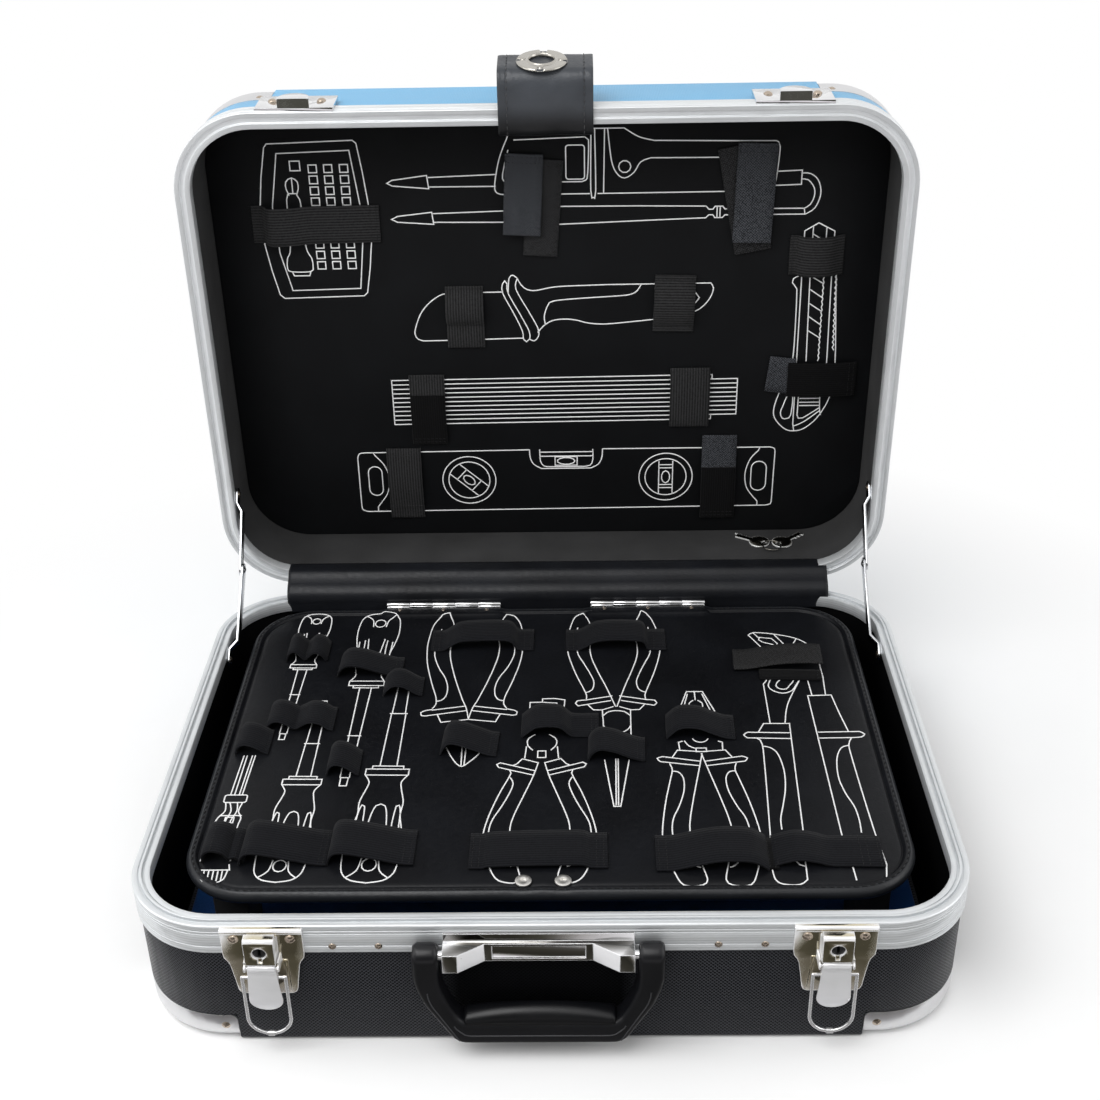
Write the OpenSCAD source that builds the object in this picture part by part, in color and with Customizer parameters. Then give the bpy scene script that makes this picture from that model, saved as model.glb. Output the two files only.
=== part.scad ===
// Hard tool case with aluminium frames, standing open. Millimetres.
// X runs along the width, Y from the front to the rear hinges, Z up.
// Z = 0 is the underside of the base. Lid pieces are drawn shut and then swung open.

/* [Case] */
// Width over the frames
case_w = 465; // [440:1:500]
// Depth over the frames, front to rear
case_d = 339; // [325:1:370]
// Corner radius of the frames seen from above
corner_r = 52; // [46:1:58]
// Height of the base, from its underside to the frame's face
base_h = 86; // [78:1:110]
// Height of the lid, from the frame's face to its top
lid_h = 62; // [58:1:90]
// Opening angle of the lid
lid_open = 88.5; // [80:0.5:92]

/* [Shells and linings] */
// Wall of the two shells
shell_wall = 2.5; // [2:0.1:3]
// How far the shells stand back behind the frames
shell_inset = 1.6; // [1.4:0.1:2.2]
// Radius of the shells' outer bottom edge
shell_edge_r = 3.5; // [2:0.5:6]
// Radius of the shells' inner bottom edge
shell_inner_r = 7; // [5:0.5:9]
// Thickness of the lining boards along the walls
lining_t = 3; // [2:0.1:3.4]
// Thickness of the felt mat on the floor
mat_t = 3; // [2:0.5:5]
// Depth of the lid's tool panel below the frame's face
panel_depth = 54.5; // [50:0.5:55]
// Thickness of the lid's tool panel
panel_t = 4; // [3:0.5:4.5]

/* [Frames] */
// Width of the frames' faces
frame_face = 10; // [9:0.1:12]
// Height of the base frame's outer side
base_frame_h = 18.7; // [17:0.1:24]
// Height of the lid frame's outer side
lid_frame_h = 14.5; // [12:0.1:20]
// Thickness of the frames' outer legs
frame_leg = 1.5; // [1.2:0.05:1.5]
// Thickness of the frames' faces
frame_web = 2.6; // [2.4:0.1:4]
// Height of the frames' inner legs
frame_inner_h = 8; // [5:0.5:10]
// Height of the tongue on the base frame
tongue_h = 1.2; // [0.8:0.1:1.4]
// Width of the tongue on the base frame
tongue_w = 1.4; // [1:0.1:2]

/* [Corner guards] */
// Thickness of the guards
guard_t = 0.8; // [0.6:0.1:1]
// Radius of the guards' outer edge
guard_edge_r = 9; // [8:0.5:12]
// Height of the base's guards
base_guard_h = 19; // [15:0.5:24]
// Height of the lid's guards
lid_guard_h = 26; // [18:0.5:30]
// Straight length of a guard past the corner's arc
guard_tail = 7.5; // [6:0.5:12]

/* [Rear hinges] */
// Distance of the hinge axis behind the frames
hinge_offset = 5.5; // [5.2:0.1:7]
// Distance of each hinge's middle from the case's side
hinge_inset = 112.5; // [85:0.5:140]
// Length of a hinge
hinge_len = 60; // [40:1:80]
// Thickness of the hinge leaves
hinge_leaf_t = 1.4; // [1:0.1:1.6]
// Outer radius of the hinge knuckles
hinge_knuckle_r = 3.3; // [3:0.1:3.6]
// Radius of the hinge pins
hinge_pin_r = 1.5; // [1.2:0.1:1.8]

/* [Latches] */
// Distance of each latch's middle from the case's side
latch_inset = 80.1; // [70:0.1:92]
// Width of the latch plates
latch_plate_w = 44; // [40:1:50]
// Height of the latch plates
latch_plate_h = 46.4; // [44:0.2:49]
// Width of the lock housing
lock_box_w = 16.4; // [14:0.2:18]
// How far the lock housing stands out
lock_box_out = 11; // [10:0.5:12]
// Radius of the lock plug
lock_plug_r = 3.7; // [3:0.1:4.2]
// Diameter of the bails' wire
bail_wire_d = 2; // [1.6:0.1:2.4]
// Width of the bails between the middles of their wires
bail_w = 23.4; // [22.8:0.2:26]
// Width of the lever tabs
lever_w = 18.2; // [16:0.2:19]
// Length of the lever tabs below their pivot
lever_len = 32.5; // [24:0.5:34]
// Radius of the lever tabs' bulge
lever_curve_r = 90; // [60:5:160]
// Thickness of the lever tabs
lever_t = 1; // [0.8:0.1:1.2]
// Height of the bail's bar above the frames' parting line when it is hooked
hook_bar_h = 13; // [12:0.5:14]

/* [Handle] */
// Shift of the handle from the middle of the front
handle_shift = -5; // [-20:1:20]
// Outer width of the handle
handle_w = 134; // [120:1:150]
// Width of the handle's arms
handle_arm_w = 14; // [12:0.5:16]
// Drop of the handle from its pivot to its lower edge
handle_drop = 59.5; // [50:0.5:62]
// Front to back thickness of the handle
handle_t = 14; // [12:0.5:15]
// Diameter of the handle's pivot pins
handle_pin_d = 5; // [4:0.5:6]

/* [Lid stays] */
// Distance of the stays' end rivets in front of the hinge axis
stay_reach = 73; // [65:1:80]
// Height of the lid rivet above the parting line, and of the base rivet below it
stay_rise = 12; // [11.5:0.5:14]
// Length of the upper arms between rivets
stay_upper_len = 54; // [50:1:58]
// Spare length of the two arms when the lid is open
stay_slack = 0.6; // [0.2:0.1:2]
// Width of the arms
stay_w = 9; // [7:0.5:10]
// Thickness of the arms
stay_t = 1.4; // [1:0.1:1.4]

/* [Pallet] */
// Space beside the tool pallet, between it and the frame
pallet_gap_side = 15.5; // [8:0.5:30]
// Space in front of the tool pallet
pallet_gap_front = 18.9; // [8:0.1:40]
// Thickness of the pallet's board
pallet_t = 7; // [5:0.5:8]
// Corner radius of the pallet
pallet_r = 40; // [30:1:46]
// Depth of the pallet's top below the frame's face
pallet_sink = 5; // [4.5:0.1:8]
// Width of the rolled edging
edging_w = 9; // [6:0.5:12]
// Length of a pallet hinge
pallet_hinge_len = 81; // [60:1:90]

/* [Soft parts] */
// Height of the pallet's elastic loops above its board
pallet_loop_h = 9; // [5:0.5:12]
// Height of the lid's straps above the tool panel
lid_loop_h = 7; // [4:0.5:12]
// Thickness of the leatherette strap and of the hinge cover
leather_t = 1; // [0.8:0.1:1.2]
// Width of the strap on the lid
strap_w = 58; // [50:1:70]
// How high the strap stands above the lid
strap_rise = 23; // [15:1:30]
// Space between the case's sides and the hinge cover
cover_margin = 40; // [35:1:60]

/* [Hidden] */
$fn = 64;
seat_gap = 0.1;       // between pieces that lie side by side
guard_groove = 0.8;   // open groove along the guards' upper edges
run_gap = 0.05;       // radial clearance of a pin in its hole
hinge_y = case_d / 2 + hinge_offset;
hinge_x = case_w / 2 - hinge_inset;
latch_x = case_w / 2 - latch_inset;
cover_w = case_w - 2 * cover_margin;
lining_in = frame_face - 1.5;            // inner surface of the linings, from the frame's outline
shell_w = case_w - 2 * shell_inset;
shell_d = case_d - 2 * shell_inset;
shell_r = corner_r - shell_inset;
frame_mid = frame_face / 2;
recess_w = 3.6;       // channel beside the tongue
recess_depth = 1;
closing_gap = 0.2;    // between the two frames' faces when the case is shut
groove_w = 0.6;       // fine lines along the frames' sides
groove_depth = 0.3;
leg_chamfer = 0.6;

latch_rivet_x = 15.2;
latch_rivet_drop = 7.2;
rivet_r = 2.8;
rivet_h = 1.6;
plate_t = 2;                             // latch plates stand this far out
lever_pivot = [9.5, 20.5];               // out from the frame, below its face
bail_pivot = [8, 28.6];
hook_bar_out = 4.5;
bail_reach = norm([bail_pivot[0] - hook_bar_out, bail_pivot[1] + hook_bar_h]);
bail_lean = atan((bail_pivot[0] - hook_bar_out) / (bail_pivot[1] + hook_bar_h));

handle_pivot = [8.5, 13];                // out from the frame, below its face
bracket_w = handle_w - 2 * handle_arm_w - 4;

stay_lid = [hinge_y - stay_reach, base_h + stay_rise];     // [y, z] with the lid shut
stay_base = [hinge_y - stay_reach - 1, base_h - stay_rise + 1];
stay_top = swing_open(stay_lid);
stay_span = norm(stay_top - stay_base);
stay_lower_len = stay_span + stay_slack - stay_upper_len;
stay_along = (stay_span ^ 2 + stay_upper_len ^ 2 - stay_lower_len ^ 2) / (2 * stay_span);
stay_knee_out = sqrt(stay_upper_len ^ 2 - stay_along ^ 2);
stay_dir = (stay_base - stay_top) / stay_span;
stay_knee = stay_top + stay_along * stay_dir + stay_knee_out * [-stay_dir[1], stay_dir[0]];
stay_pad_x = case_w / 2 - frame_face - seat_gap;           // outer faces of the arms' end pads
stay_upper_x = stay_pad_x - 3.6;
stay_lower_x = stay_upper_x - stay_t - 0.2;
stay_pin_r = 1.6;

pallet_top = base_h - pallet_sink;
pallet_hinge = [case_d / 2 - frame_face - 2.7, pallet_top + 2.6];   // [y, z] of its axis
pallet_rear = pallet_hinge[0] - 1.4;
pallet_w = case_w - 2 * (frame_face + pallet_gap_side);
pallet_l = pallet_rear + case_d / 2 - frame_face - pallet_gap_front;
pallet_y = pallet_rear - pallet_l / 2;
pallet_knuckle_r = 2;
pallet_pin_r = 0.9;
pallet_leaf_t = 1;
edging_lip = 0.7;     // the edging stands this much above and below the board
pallet_leaf_z = pallet_top + edging_lip;
pallet_hinge_xs = [-78, 67];

panel_z = base_h + panel_depth;          // panel's open side, with the lid shut
panel_w = case_w - 2 * (lining_in + 2);
panel_l = case_d - 2 * (lining_in + 2);

// ---------- placing ----------
function swing_open(p) = [
    hinge_y + (p[0] - hinge_y) * cos(lid_open) + (p[1] - base_h) * sin(lid_open),
    base_h - (p[0] - hinge_y) * sin(lid_open) + (p[1] - base_h) * cos(lid_open)];

module opened() {
    translate([0, hinge_y, base_h]) rotate([-lid_open, 0, 0]) translate([0, -hinge_y, -base_h])
        children();
}

// Local X along the case, Y up, Z straight out of the front, from the frame's face height
module on_front(x) {
    translate([x, -case_d / 2, base_h]) rotate([90, 0, 0]) children();
}

module both_sides() {
    for (side = [-1, 1]) scale([side, 1, 1]) children();
}

// A 2D section in the XZ plane of the children, swept round a rounded rectangle.
// Its X = 0 is the outline and negative X lies inside.
module ring(w, d, r) {
    for (side = [0:3]) rotate([0, 0, 90 * side]) {
        reach = side % 2 == 0 ? w / 2 : d / 2;
        across = side % 2 == 0 ? d : w;
        translate([reach, 0, 0]) rotate([90, 0, 0])
            linear_extrude(across - 2 * r, center = true) children();
        translate([reach - r, across / 2 - r, 0]) rotate_extrude(angle = 90)
            translate([r, 0]) children();
    }
}

// The same section round one corner, with a straight tail at each end
module corner_sweep(w, d, r, tail) {
    translate([w / 2 - r, d / 2 - r, 0]) {
        rotate_extrude(angle = 90) translate([r, 0]) children();
        translate([r, 0, 0]) rotate([90, 0, 0]) linear_extrude(tail) children();
        rotate([0, 0, 90]) translate([r, 0, 0]) rotate([90, 0, 0])
            translate([0, 0, -tail]) linear_extrude(tail) children();
    }
}

module four_corners() {
    for (sx = [0, 1], sy = [0, 1]) mirror([sx, 0, 0]) mirror([0, sy, 0]) children();
}

module rounded_rect(w, d, r) {
    square([w - 2 * r, d], center = true);
    square([w, d - 2 * r], center = true);
    for (sx = [-1, 1], sy = [-1, 1]) translate([sx * (w / 2 - r), sy * (d / 2 - r)]) circle(r);
}

// ---------- shells ----------
// A block whose lower outer corner is rounded; X runs from -depth to 0
module edge_block(depth, h, r) {
    translate([-depth, 0]) square([depth - r, h]);
    translate([-depth, r]) square([depth, h - r]);
    translate([-r, r]) circle(r);
}

module shell_section(h) {
    difference() {
        edge_block(shell_r, h, shell_edge_r);
        translate([-shell_wall, shell_wall]) edge_block(shell_r, h, shell_inner_r);
    }
}

module guard_section(h, extra) {
    intersection() {
        difference() {
            translate([0, 0]) edge_block(24, h + 1, guard_edge_r);
            translate([-guard_t, guard_t]) edge_block(30, h + 1, guard_edge_r - guard_t);
        }
        translate([-16, 0]) square([20, h + extra]);
    }
}

// What the corner guards take away from the shells' corners
module guard_recess(h) {
    difference() {
        translate([-16 - seat_gap, -5]) square([30, h + 5 + guard_groove]);
        translate([-guard_t, guard_t]) edge_block(30, h + 5, guard_edge_r - guard_t);
    }
}

module shell(h, guard_h) {
    difference() {
        union() {
            ring(shell_w, shell_d, shell_r) shell_section(h);
            translate([0, 0, shell_wall / 2])
                cube([shell_w - 2 * shell_r, shell_d - 2 * shell_r, shell_wall], center = true);
        }
        four_corners() corner_sweep(shell_w, shell_d, shell_r, guard_tail + 0.3)
            guard_recess(guard_h);
    }
}

// What a guard loses at the two outer corners of its tails
module guard_end_cut(h) {
    r = 4;
    for (turn = [0, 1]) mirror([turn, -turn, 0])
        translate([turn ? shell_d / 2 - 3 : shell_w / 2 - 3,
            (turn ? shell_w : shell_d) / 2 - shell_r - guard_tail, h]) rotate([90, 0, 90])
            difference() {
                translate([-1, -r, 0]) cube([r + 1, r + 1, 6]);
                translate([r, -r, -1]) cylinder(r = r, h = 8);
            }
}

module guards(h) {
    four_corners() difference() {
        corner_sweep(shell_w, shell_d, shell_r, guard_tail) guard_section(h, 0);
        guard_end_cut(h);
    }
}

// The linings' outer lower edge follows the rounding inside the shell
module lining_section(h) {
    intersection() {
        translate([-lining_in, 0]) square([lining_t, h]);
        translate([-shell_inset - shell_wall - seat_gap, 0]) edge_block(30, h, shell_inner_r);
    }
}

module base_shell() {
    color([0.09, 0.09, 0.10]) shell(base_h - frame_web, base_guard_h);
}

module lid_shell() {
    color([0.45, 0.68, 0.86]) opened() translate([0, 0, base_h + lid_h]) mirror([0, 0, 1])
        shell(lid_h - frame_web, lid_guard_h);
}

module base_corner_guards() {
    color([0.80, 0.81, 0.83]) guards(base_guard_h);
}

module lid_corner_guards() {
    color([0.80, 0.81, 0.83]) opened() translate([0, 0, base_h + lid_h]) mirror([0, 0, 1])
        guards(lid_guard_h);
}

module base_lining() {
    color([0.12, 0.12, 0.13]) translate([0, 0, shell_wall]) ring(case_w, case_d, corner_r)
        lining_section(base_h - frame_web - shell_wall);
}

module lid_lining() {
    color([0.20, 0.20, 0.21]) opened() translate([0, 0, base_h + lid_h - shell_wall])
        mirror([0, 0, 1]) ring(case_w, case_d, corner_r)
            lining_section(lid_h - frame_web - shell_wall);
}

module floor_mat() {
    inset = shell_inset + shell_wall + shell_inner_r + seat_gap;
    color([0.05, 0.16, 0.36]) translate([0, 0, shell_wall]) linear_extrude(mat_t)
        rounded_rect(case_w - 2 * inset, case_d - 2 * inset, corner_r - inset);
}

module tool_panel() {
    inset = lining_in + 0.3;
    color([0.05, 0.05, 0.06]) opened() translate([0, 0, panel_z]) linear_extrude(panel_t)
        rounded_rect(case_w - 2 * inset, case_d - 2 * inset, corner_r - inset);
}

// ---------- frames ----------
module side_grooves(heights) {
    for (y = heights) translate([-groove_depth, y]) square([groove_depth + 1, groove_w]);
}

module base_frame_section() {
    difference() {
        union() {
            translate([-frame_face, -frame_web]) square([frame_face, frame_web]);
            translate([-frame_leg, -base_frame_h]) square([frame_leg, base_frame_h]);
            translate([-frame_face, -frame_inner_h]) square([lining_gap(), frame_inner_h]);
        }
        translate([-frame_mid - recess_w / 2, -recess_depth]) square([recess_w, recess_depth + 1]);
        side_grooves([-4, -6, -base_frame_h + 4.2]);
        translate([-leg_chamfer, 0]) rotate(-45) square([2, 2]);
    }
    translate([-frame_mid - tongue_w / 2, -recess_depth - 0.2])
        square([tongue_w, recess_depth + 0.2 + tongue_h]);
}

function lining_gap() = frame_face - lining_in - seat_gap;

module lid_frame_section() {
    channel_w = tongue_w + 0.8;
    channel_h = tongue_h + 0.4;
    difference() {
        union() {
            translate([-frame_face, closing_gap]) square([frame_face, frame_web - closing_gap]);
            translate([-frame_leg, closing_gap]) square([frame_leg, lid_frame_h - closing_gap]);
            translate([-frame_face, closing_gap]) square([lining_gap(), frame_inner_h]);
        }
        translate([-frame_mid - recess_w / 2, -1]) square([recess_w, recess_depth + 1]);
        translate([-frame_mid - channel_w / 2, -1]) square([channel_w, channel_h + 1]);
        side_grooves([3.4, 5.4, lid_frame_h - 3.2]);
        translate([-leg_chamfer, 0]) rotate(-45) square([2, 2]);
    }
}

module base_frame() {
    color([0.78, 0.79, 0.80]) translate([0, 0, base_h]) ring(case_w, case_d, corner_r)
        base_frame_section();
}

module lid_frame() {
    color([0.78, 0.79, 0.80]) opened() translate([0, 0, base_h]) ring(case_w, case_d, corner_r)
        lid_frame_section();
}

// ---------- rivets ----------
module rivet(r, h) {
    intersection() {
        cylinder(r = r, h = h);
        translate([0, 0, h - r * 1.25]) sphere(r * 1.25);
    }
}

module rivet_out_front(x, below, out, r, h) {
    on_front(x) translate([0, -below, out]) rivet(r, h);
}

module guard_rivets(guard_h, rivet_z) {
    at = case_w / 2 - corner_r - 0.5;
    beside = case_d / 2 - corner_r - 0.5;
    for (sx = [-1, 1]) {
        for (face = [0, 180]) rotate([0, 0, face])
            translate([sx * at, -shell_d / 2, rivet_z]) rotate([90, 0, 0]) rivet(rivet_r, 1);
        for (face = [90, 270]) rotate([0, 0, face])
            translate([sx * beside, -shell_w / 2, rivet_z]) rotate([90, 0, 0]) rivet(rivet_r, 1);
    }
}

module base_rivets() {
    color([0.72, 0.66, 0.58]) {
        for (side = [-1, 1]) {
            for (inward = [61.7, 36.9]) rivet_out_front(side * (latch_x - inward), 14.5, 0, 2.1, 1.1);
            for (u = [-1, 1])
                rivet_out_front(side * latch_x + u * latch_rivet_x, latch_rivet_drop,
                    plate_t, rivet_r, rivet_h);
            for (u = [-20, 20])
                translate([side * hinge_x + u, case_d / 2 + hinge_leaf_t, base_h - 12])
                    rotate([-90, 0, 0]) rivet(2.4, 1);
        }
        guard_rivets(base_guard_h, 11.5);
    }
}

module lid_rivets() {
    color([0.72, 0.66, 0.58]) opened() {
        for (side = [-1, 1]) {
            for (u = [-1, 1])
                rivet_out_front(side * latch_x + u * latch_rivet_x, -catch_rivet_h,
                    catch_out, rivet_r, rivet_h);
            for (u = [-20, 20])
                translate([side * hinge_x + u, case_d / 2 + hinge_leaf_t, base_h + 9])
                    rotate([-90, 0, 0]) rivet(2.4, 1);
        }
        translate([0, 0, base_h + lid_h]) mirror([0, 0, 1]) guard_rivets(lid_guard_h, 20);
    }
}

// ---------- rear hinges ----------
// Leaf height is measured from the parting line; direction is -1 for the base and 1 for the lid
module hinge_leaf(direction, leaf_h, knuckles, gap) {
    leaf_from = 1;
    difference() {
        union() {
            translate([-hinge_len / 2, case_d / 2, direction > 0 ? leaf_from : -leaf_h])
                cube([hinge_len, hinge_leaf_t, leaf_h - leaf_from]);
            for (k = knuckles) {
                translate([k[0], hinge_y, 0]) rotate([0, 90, 0])
                    cylinder(r = hinge_knuckle_r, h = k[1]);
                translate([k[0], case_d / 2, direction > 0 ? hinge_knuckle_r - 1.8 : -hinge_knuckle_r])
                    cube([k[1], hinge_offset, 1.8]);
            }
        }
        translate([-hinge_len / 2 - 1, hinge_y, 0]) rotate([0, 90, 0])
            cylinder(r = hinge_pin_r + gap, h = hinge_len + 2);
    }
}

module base_hinge_leaves() {
    end_knuckle = hinge_len * 0.3;
    color([0.75, 0.76, 0.77]) for (side = [-1, 1])
        translate([side * hinge_x, 0, base_h])
            hinge_leaf(-1, 17, [[-hinge_len / 2, end_knuckle],
                [hinge_len / 2 - end_knuckle, end_knuckle]], 0);
}

module lid_hinge_leaves() {
    knuckle = hinge_len * 0.4 - 0.6;
    color([0.75, 0.76, 0.77]) opened() for (side = [-1, 1])
        translate([side * hinge_x, 0, base_h])
            hinge_leaf(1, 14, [[-knuckle / 2, knuckle]], run_gap);
}

module hinge_pins() {
    color([0.70, 0.70, 0.71]) for (side = [-1, 1])
        translate([side * hinge_x - hinge_len / 2, hinge_y, base_h]) rotate([0, 90, 0])
            cylinder(r = hinge_pin_r, h = hinge_len);
}

// ---------- latches ----------
lock_box_top = 0.3;        // below the frame's face
lock_box_low = 17.4;
lock_box_roll = 2.2;       // radius of the housing's rolled upper edge
lock_plug_drop = 9.2;
knuckle_half = lever_w / 2 - 1.3;    // half the width of the levers at their pivots
catch_out = 2.5;           // height of the catch plates above the lid frame
catch_rivet_h = 17;
catch_l = 27;
catch_from = 1;
hook_r = bail_w / 2 - bail_wire_d / 2 - 1;
hook_top = 7.9;

module latch_outline() {
    half = latch_plate_w / 2;
    waist = bail_w / 2 + 7;
    foot = waist - 2.4;
    low = -latch_plate_h;
    polygon([[-half, -1], [half, -1], [half, -17.5], [half - 0.4, -20.5], [half - 2.4, -23.5],
        [waist, -26], [waist - 1.5, -36], [foot, low + 3.4], [foot - 0.9, low + 1.2],
        [foot - 3, low], [3 - foot, low], [0.9 - foot, low + 1.2], [-foot, low + 3.4],
        [1.5 - waist, -36], [-waist, -26], [2.4 - half, -23.5], [0.4 - half, -20.5],
        [-half, -17.5]]);
}

// Side view of the plate's rolled upper edge: X points out of the case, Y up
module latch_lip_side() {
    intersection() {
        translate([1.3, -2]) circle(1.9);
        translate([0, -4]) square(8);
    }
    translate([0, -4]) square([1.3, 3.9]);
}

// Side view of the lock housing, open behind its rolled upper edge
module lock_box_side() {
    r = lock_box_roll;
    difference() {
        union() {
            translate([0, -lock_box_low]) square([lock_box_out, lock_box_low - lock_box_top - r]);
            translate([0, -lock_box_low]) square([lock_box_out - r, lock_box_low - lock_box_top]);
            translate([lock_box_out - r, -lock_box_top - r]) circle(r);
        }
        translate([2, -lock_box_top - 4.6]) square([lock_box_out - 2 * r - 3, 6]);
    }
}

module keyhole() {
    translate([0, 0, 1]) cylinder(r = lock_plug_r + run_gap, h = 20);
    translate([-1.2, -lock_plug_r - 3, lock_box_out - 1.2]) cube([2.4, lock_plug_r + 3, 3]);
}

module latch_plate(side) {
    ear_t = 1;
    ear_x = knuckle_half + 1.2;
    color([0.82, 0.83, 0.84]) on_front(side * latch_x) difference() {
        union() {
            linear_extrude(plate_t) latch_outline();
            rotate([0, -90, 0]) linear_extrude(latch_plate_w, center = true) latch_lip_side();
            rotate([0, -90, 0]) linear_extrude(lock_box_w, center = true) lock_box_side();
            for (u = [-1, 1]) translate([u * ear_x - ear_t / 2, -lever_pivot[1] - 2.2, 0])
                cube([ear_t, 6, lever_pivot[0]]);
            for (u = [-1, 1]) translate([u * ear_x, -lever_pivot[1], lever_pivot[0]])
                rotate([0, 90, 0]) cylinder(r = 2.2, h = ear_t, center = true);
            translate([0, -lever_pivot[1], lever_pivot[0]]) rotate([0, 90, 0])
                cylinder(r = 1, h = 2 * ear_x, center = true);
        }
        translate([0, -lock_plug_drop, 0]) keyhole();
    }
}

module lock_plug(side) {
    color([0.10, 0.10, 0.11]) on_front(side * latch_x) translate([0, -lock_plug_drop, 0])
        difference() {
            translate([0, 0, 1.2]) cylinder(r = lock_plug_r, h = lock_box_out - 2.4);
            translate([-0.8, -2.4, 5]) cube([1.6, 4.8, 20]);
        }
}

// The tab hangs from a rolled knuckle, bulging outwards, and has two ears that carry the bail
module lever(side) {
    round_r = lever_w / 2;
    ear_t = 0.9;
    ear_x = knuckle_half - ear_t / 2;
    to_bail = [bail_pivot[0] - lever_pivot[0], lever_pivot[1] - bail_pivot[1]];
    color([0.80, 0.81, 0.82]) on_front(side * latch_x)
        translate([0, -lever_pivot[1], lever_pivot[0]]) difference() {
            union() {
                rotate([0, 90, 0]) cylinder(r = 2.2, h = 2 * knuckle_half - 1, center = true);
                intersection() {
                    translate([0, -9, 1.4 - lever_curve_r]) rotate([0, 90, 0]) difference() {
                        cylinder(r = lever_curve_r, h = 40, center = true, $fn = 180);
                        cylinder(r = lever_curve_r - lever_t, h = 41, center = true, $fn = 180);
                    }
                    translate([0, 0, -8]) linear_extrude(20) {
                        polygon([[0.3 - knuckle_half, 0], [-round_r, round_r - lever_len],
                            [round_r, round_r - lever_len], [knuckle_half - 0.3, 0]]);
                        translate([0, round_r - lever_len]) circle(round_r);
                    }
                }
                for (u = [-1, 1]) translate([u * ear_x, 0, 0]) rotate([0, 90, 0]) {
                    translate([-to_bail[0], to_bail[1], 0])
                        cylinder(r = 1.9, h = ear_t, center = true);
                    translate([-1.2, to_bail[1] - 0.2, -ear_t / 2])
                        cube([1.2 - to_bail[0], -to_bail[1], ear_t]);
                }
            }
            rotate([0, 90, 0]) cylinder(r = 1 + run_gap, h = 40, center = true);
            translate([0, to_bail[1], to_bail[0]]) rotate([0, 90, 0])
                cylinder(r = bail_wire_d / 2 + run_gap, h = 40, center = true);
        }
}

// A wire U that hangs from the lever; its ends turn in and lie in the lever's ears
module bail(side) {
    leg = bail_reach - bail_w / 2;
    end_in = 4.8;
    color([0.80, 0.81, 0.82]) on_front(side * latch_x)
        translate([0, -bail_pivot[1], bail_pivot[0]]) {
            for (u = [-1, 1]) {
                translate([u * bail_w / 2, 0, 0]) rotate([90, 0, 0])
                    cylinder(d = bail_wire_d, h = leg);
                translate([u * bail_w / 2, 0, 0]) sphere(d = bail_wire_d);
                translate([u * (bail_w / 2 - end_in / 2), 0, 0]) rotate([0, 90, 0])
                    cylinder(d = bail_wire_d, h = end_in, center = true);
            }
            translate([0, -leg, 0]) rotate([0, 0, 180]) rotate_extrude(angle = 180)
                translate([bail_w / 2, 0]) circle(d = bail_wire_d);
        }
}

module bail_clip(side) {
    color([0.80, 0.81, 0.82]) on_front(side * latch_x)
        translate([0, -bail_pivot[1] - bail_reach + bail_w / 2, bail_pivot[0]])
            rotate([0, 0, 270 - 9]) rotate_extrude(angle = 18) translate([bail_w / 2, 0])
            difference() {
                circle(d = bail_wire_d + 1.2);
                circle(d = bail_wire_d + 0.02);
            }
}

module catch_plate(side) {
    half = latch_plate_w / 2 + 2;
    hook_y = hook_bar_h - bail_w / 2;
    lip_from = hook_bar_out + bail_wire_d / 2 + 0.8;
    color([0.82, 0.83, 0.84]) opened() on_front(side * latch_x) {
        translate([-half, catch_from, 0]) cube([2 * half, catch_l, catch_out]);
        intersection() {
            union() {
                translate([0, hook_y, 0]) cylinder(r = hook_r, h = hook_top);
                translate([0, hook_y + 2.6, lip_from]) cylinder(r = hook_r, h = 1.8);
            }
            translate([-half, catch_from, 0]) cube([2 * half, catch_l, 20]);
        }
    }
}

// ---------- handle ----------
module bracket_strip() {
    half = bracket_w / 2;
    polygon([[-half, 0], [-half, 12.5], [-half + 8, 12.5], [-half + 22, 3.6], [half - 22, 3.6],
        [half - 8, 12.5], [half, 12.5], [half, 0]]);
}

module handle_bracket() {
    strip_low = 10;            // the strip's height range below the frame's face
    strip_high = 22;
    half = bracket_w / 2;
    color([0.83, 0.84, 0.85]) on_front(handle_shift) difference() {
        union() {
            translate([-half, -strip_high, 0]) cube([bracket_w, strip_high - 5, 1.2]);
            translate([0, -strip_low, 0]) rotate([90, 0, 0])
                linear_extrude(strip_high - strip_low) bracket_strip();
        }
        translate([-half + 26, -strip_high + 1.6, 2.4])
            cube([bracket_w - 52, strip_high - strip_low - 3.2, 10]);
        for (u = [-1, 1]) translate([u * (half - 10), -handle_pivot[1], handle_pivot[0]])
            rotate([0, u * 90, 0]) cylinder(d = handle_pin_d, h = 20);
    }
}

module handle_pins() {
    color([0.70, 0.70, 0.71]) on_front(handle_shift) for (u = [-1, 1])
        translate([u * (bracket_w / 2 - 10), -handle_pivot[1], handle_pivot[0]])
            rotate([0, u * 90, 0]) cylinder(d = handle_pin_d, h = 10 + 2 + handle_arm_w - 4);
}

grip_w = handle_w - 2 * handle_arm_w - 23;
band_h = 15.5;

module handle_outline() {
    half = handle_w / 2;
    r = handle_t / 2 + 0.5;
    low = -handle_drop;
    polygon([[-half, r], [-half, -12], [-half + 1.5, -20], [-half + 5, -30], [-half + 11, -41],
        [-half + 17, low + 8], [-half + 20, low + 3], [-half + 24, low + 0.6], [-half + 28, low],
        [half - 28, low], [half - 24, low + 0.6], [half - 20, low + 3], [half - 17, low + 8],
        [half - 11, -41], [half - 5, -30], [half - 1.5, -20], [half, -12], [half, r]]);
}

module handle_window() {
    half = handle_w / 2 - handle_arm_w;
    low = -handle_drop + band_h;
    polygon([[-half, 20], [-half, -14], [-half + 2, -24], [-half + 6, -33], [-half + 11, low],
        [half - 11, low], [half - 6, -33], [half - 2, -24], [half, -14], [half, 20]]);
}

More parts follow.
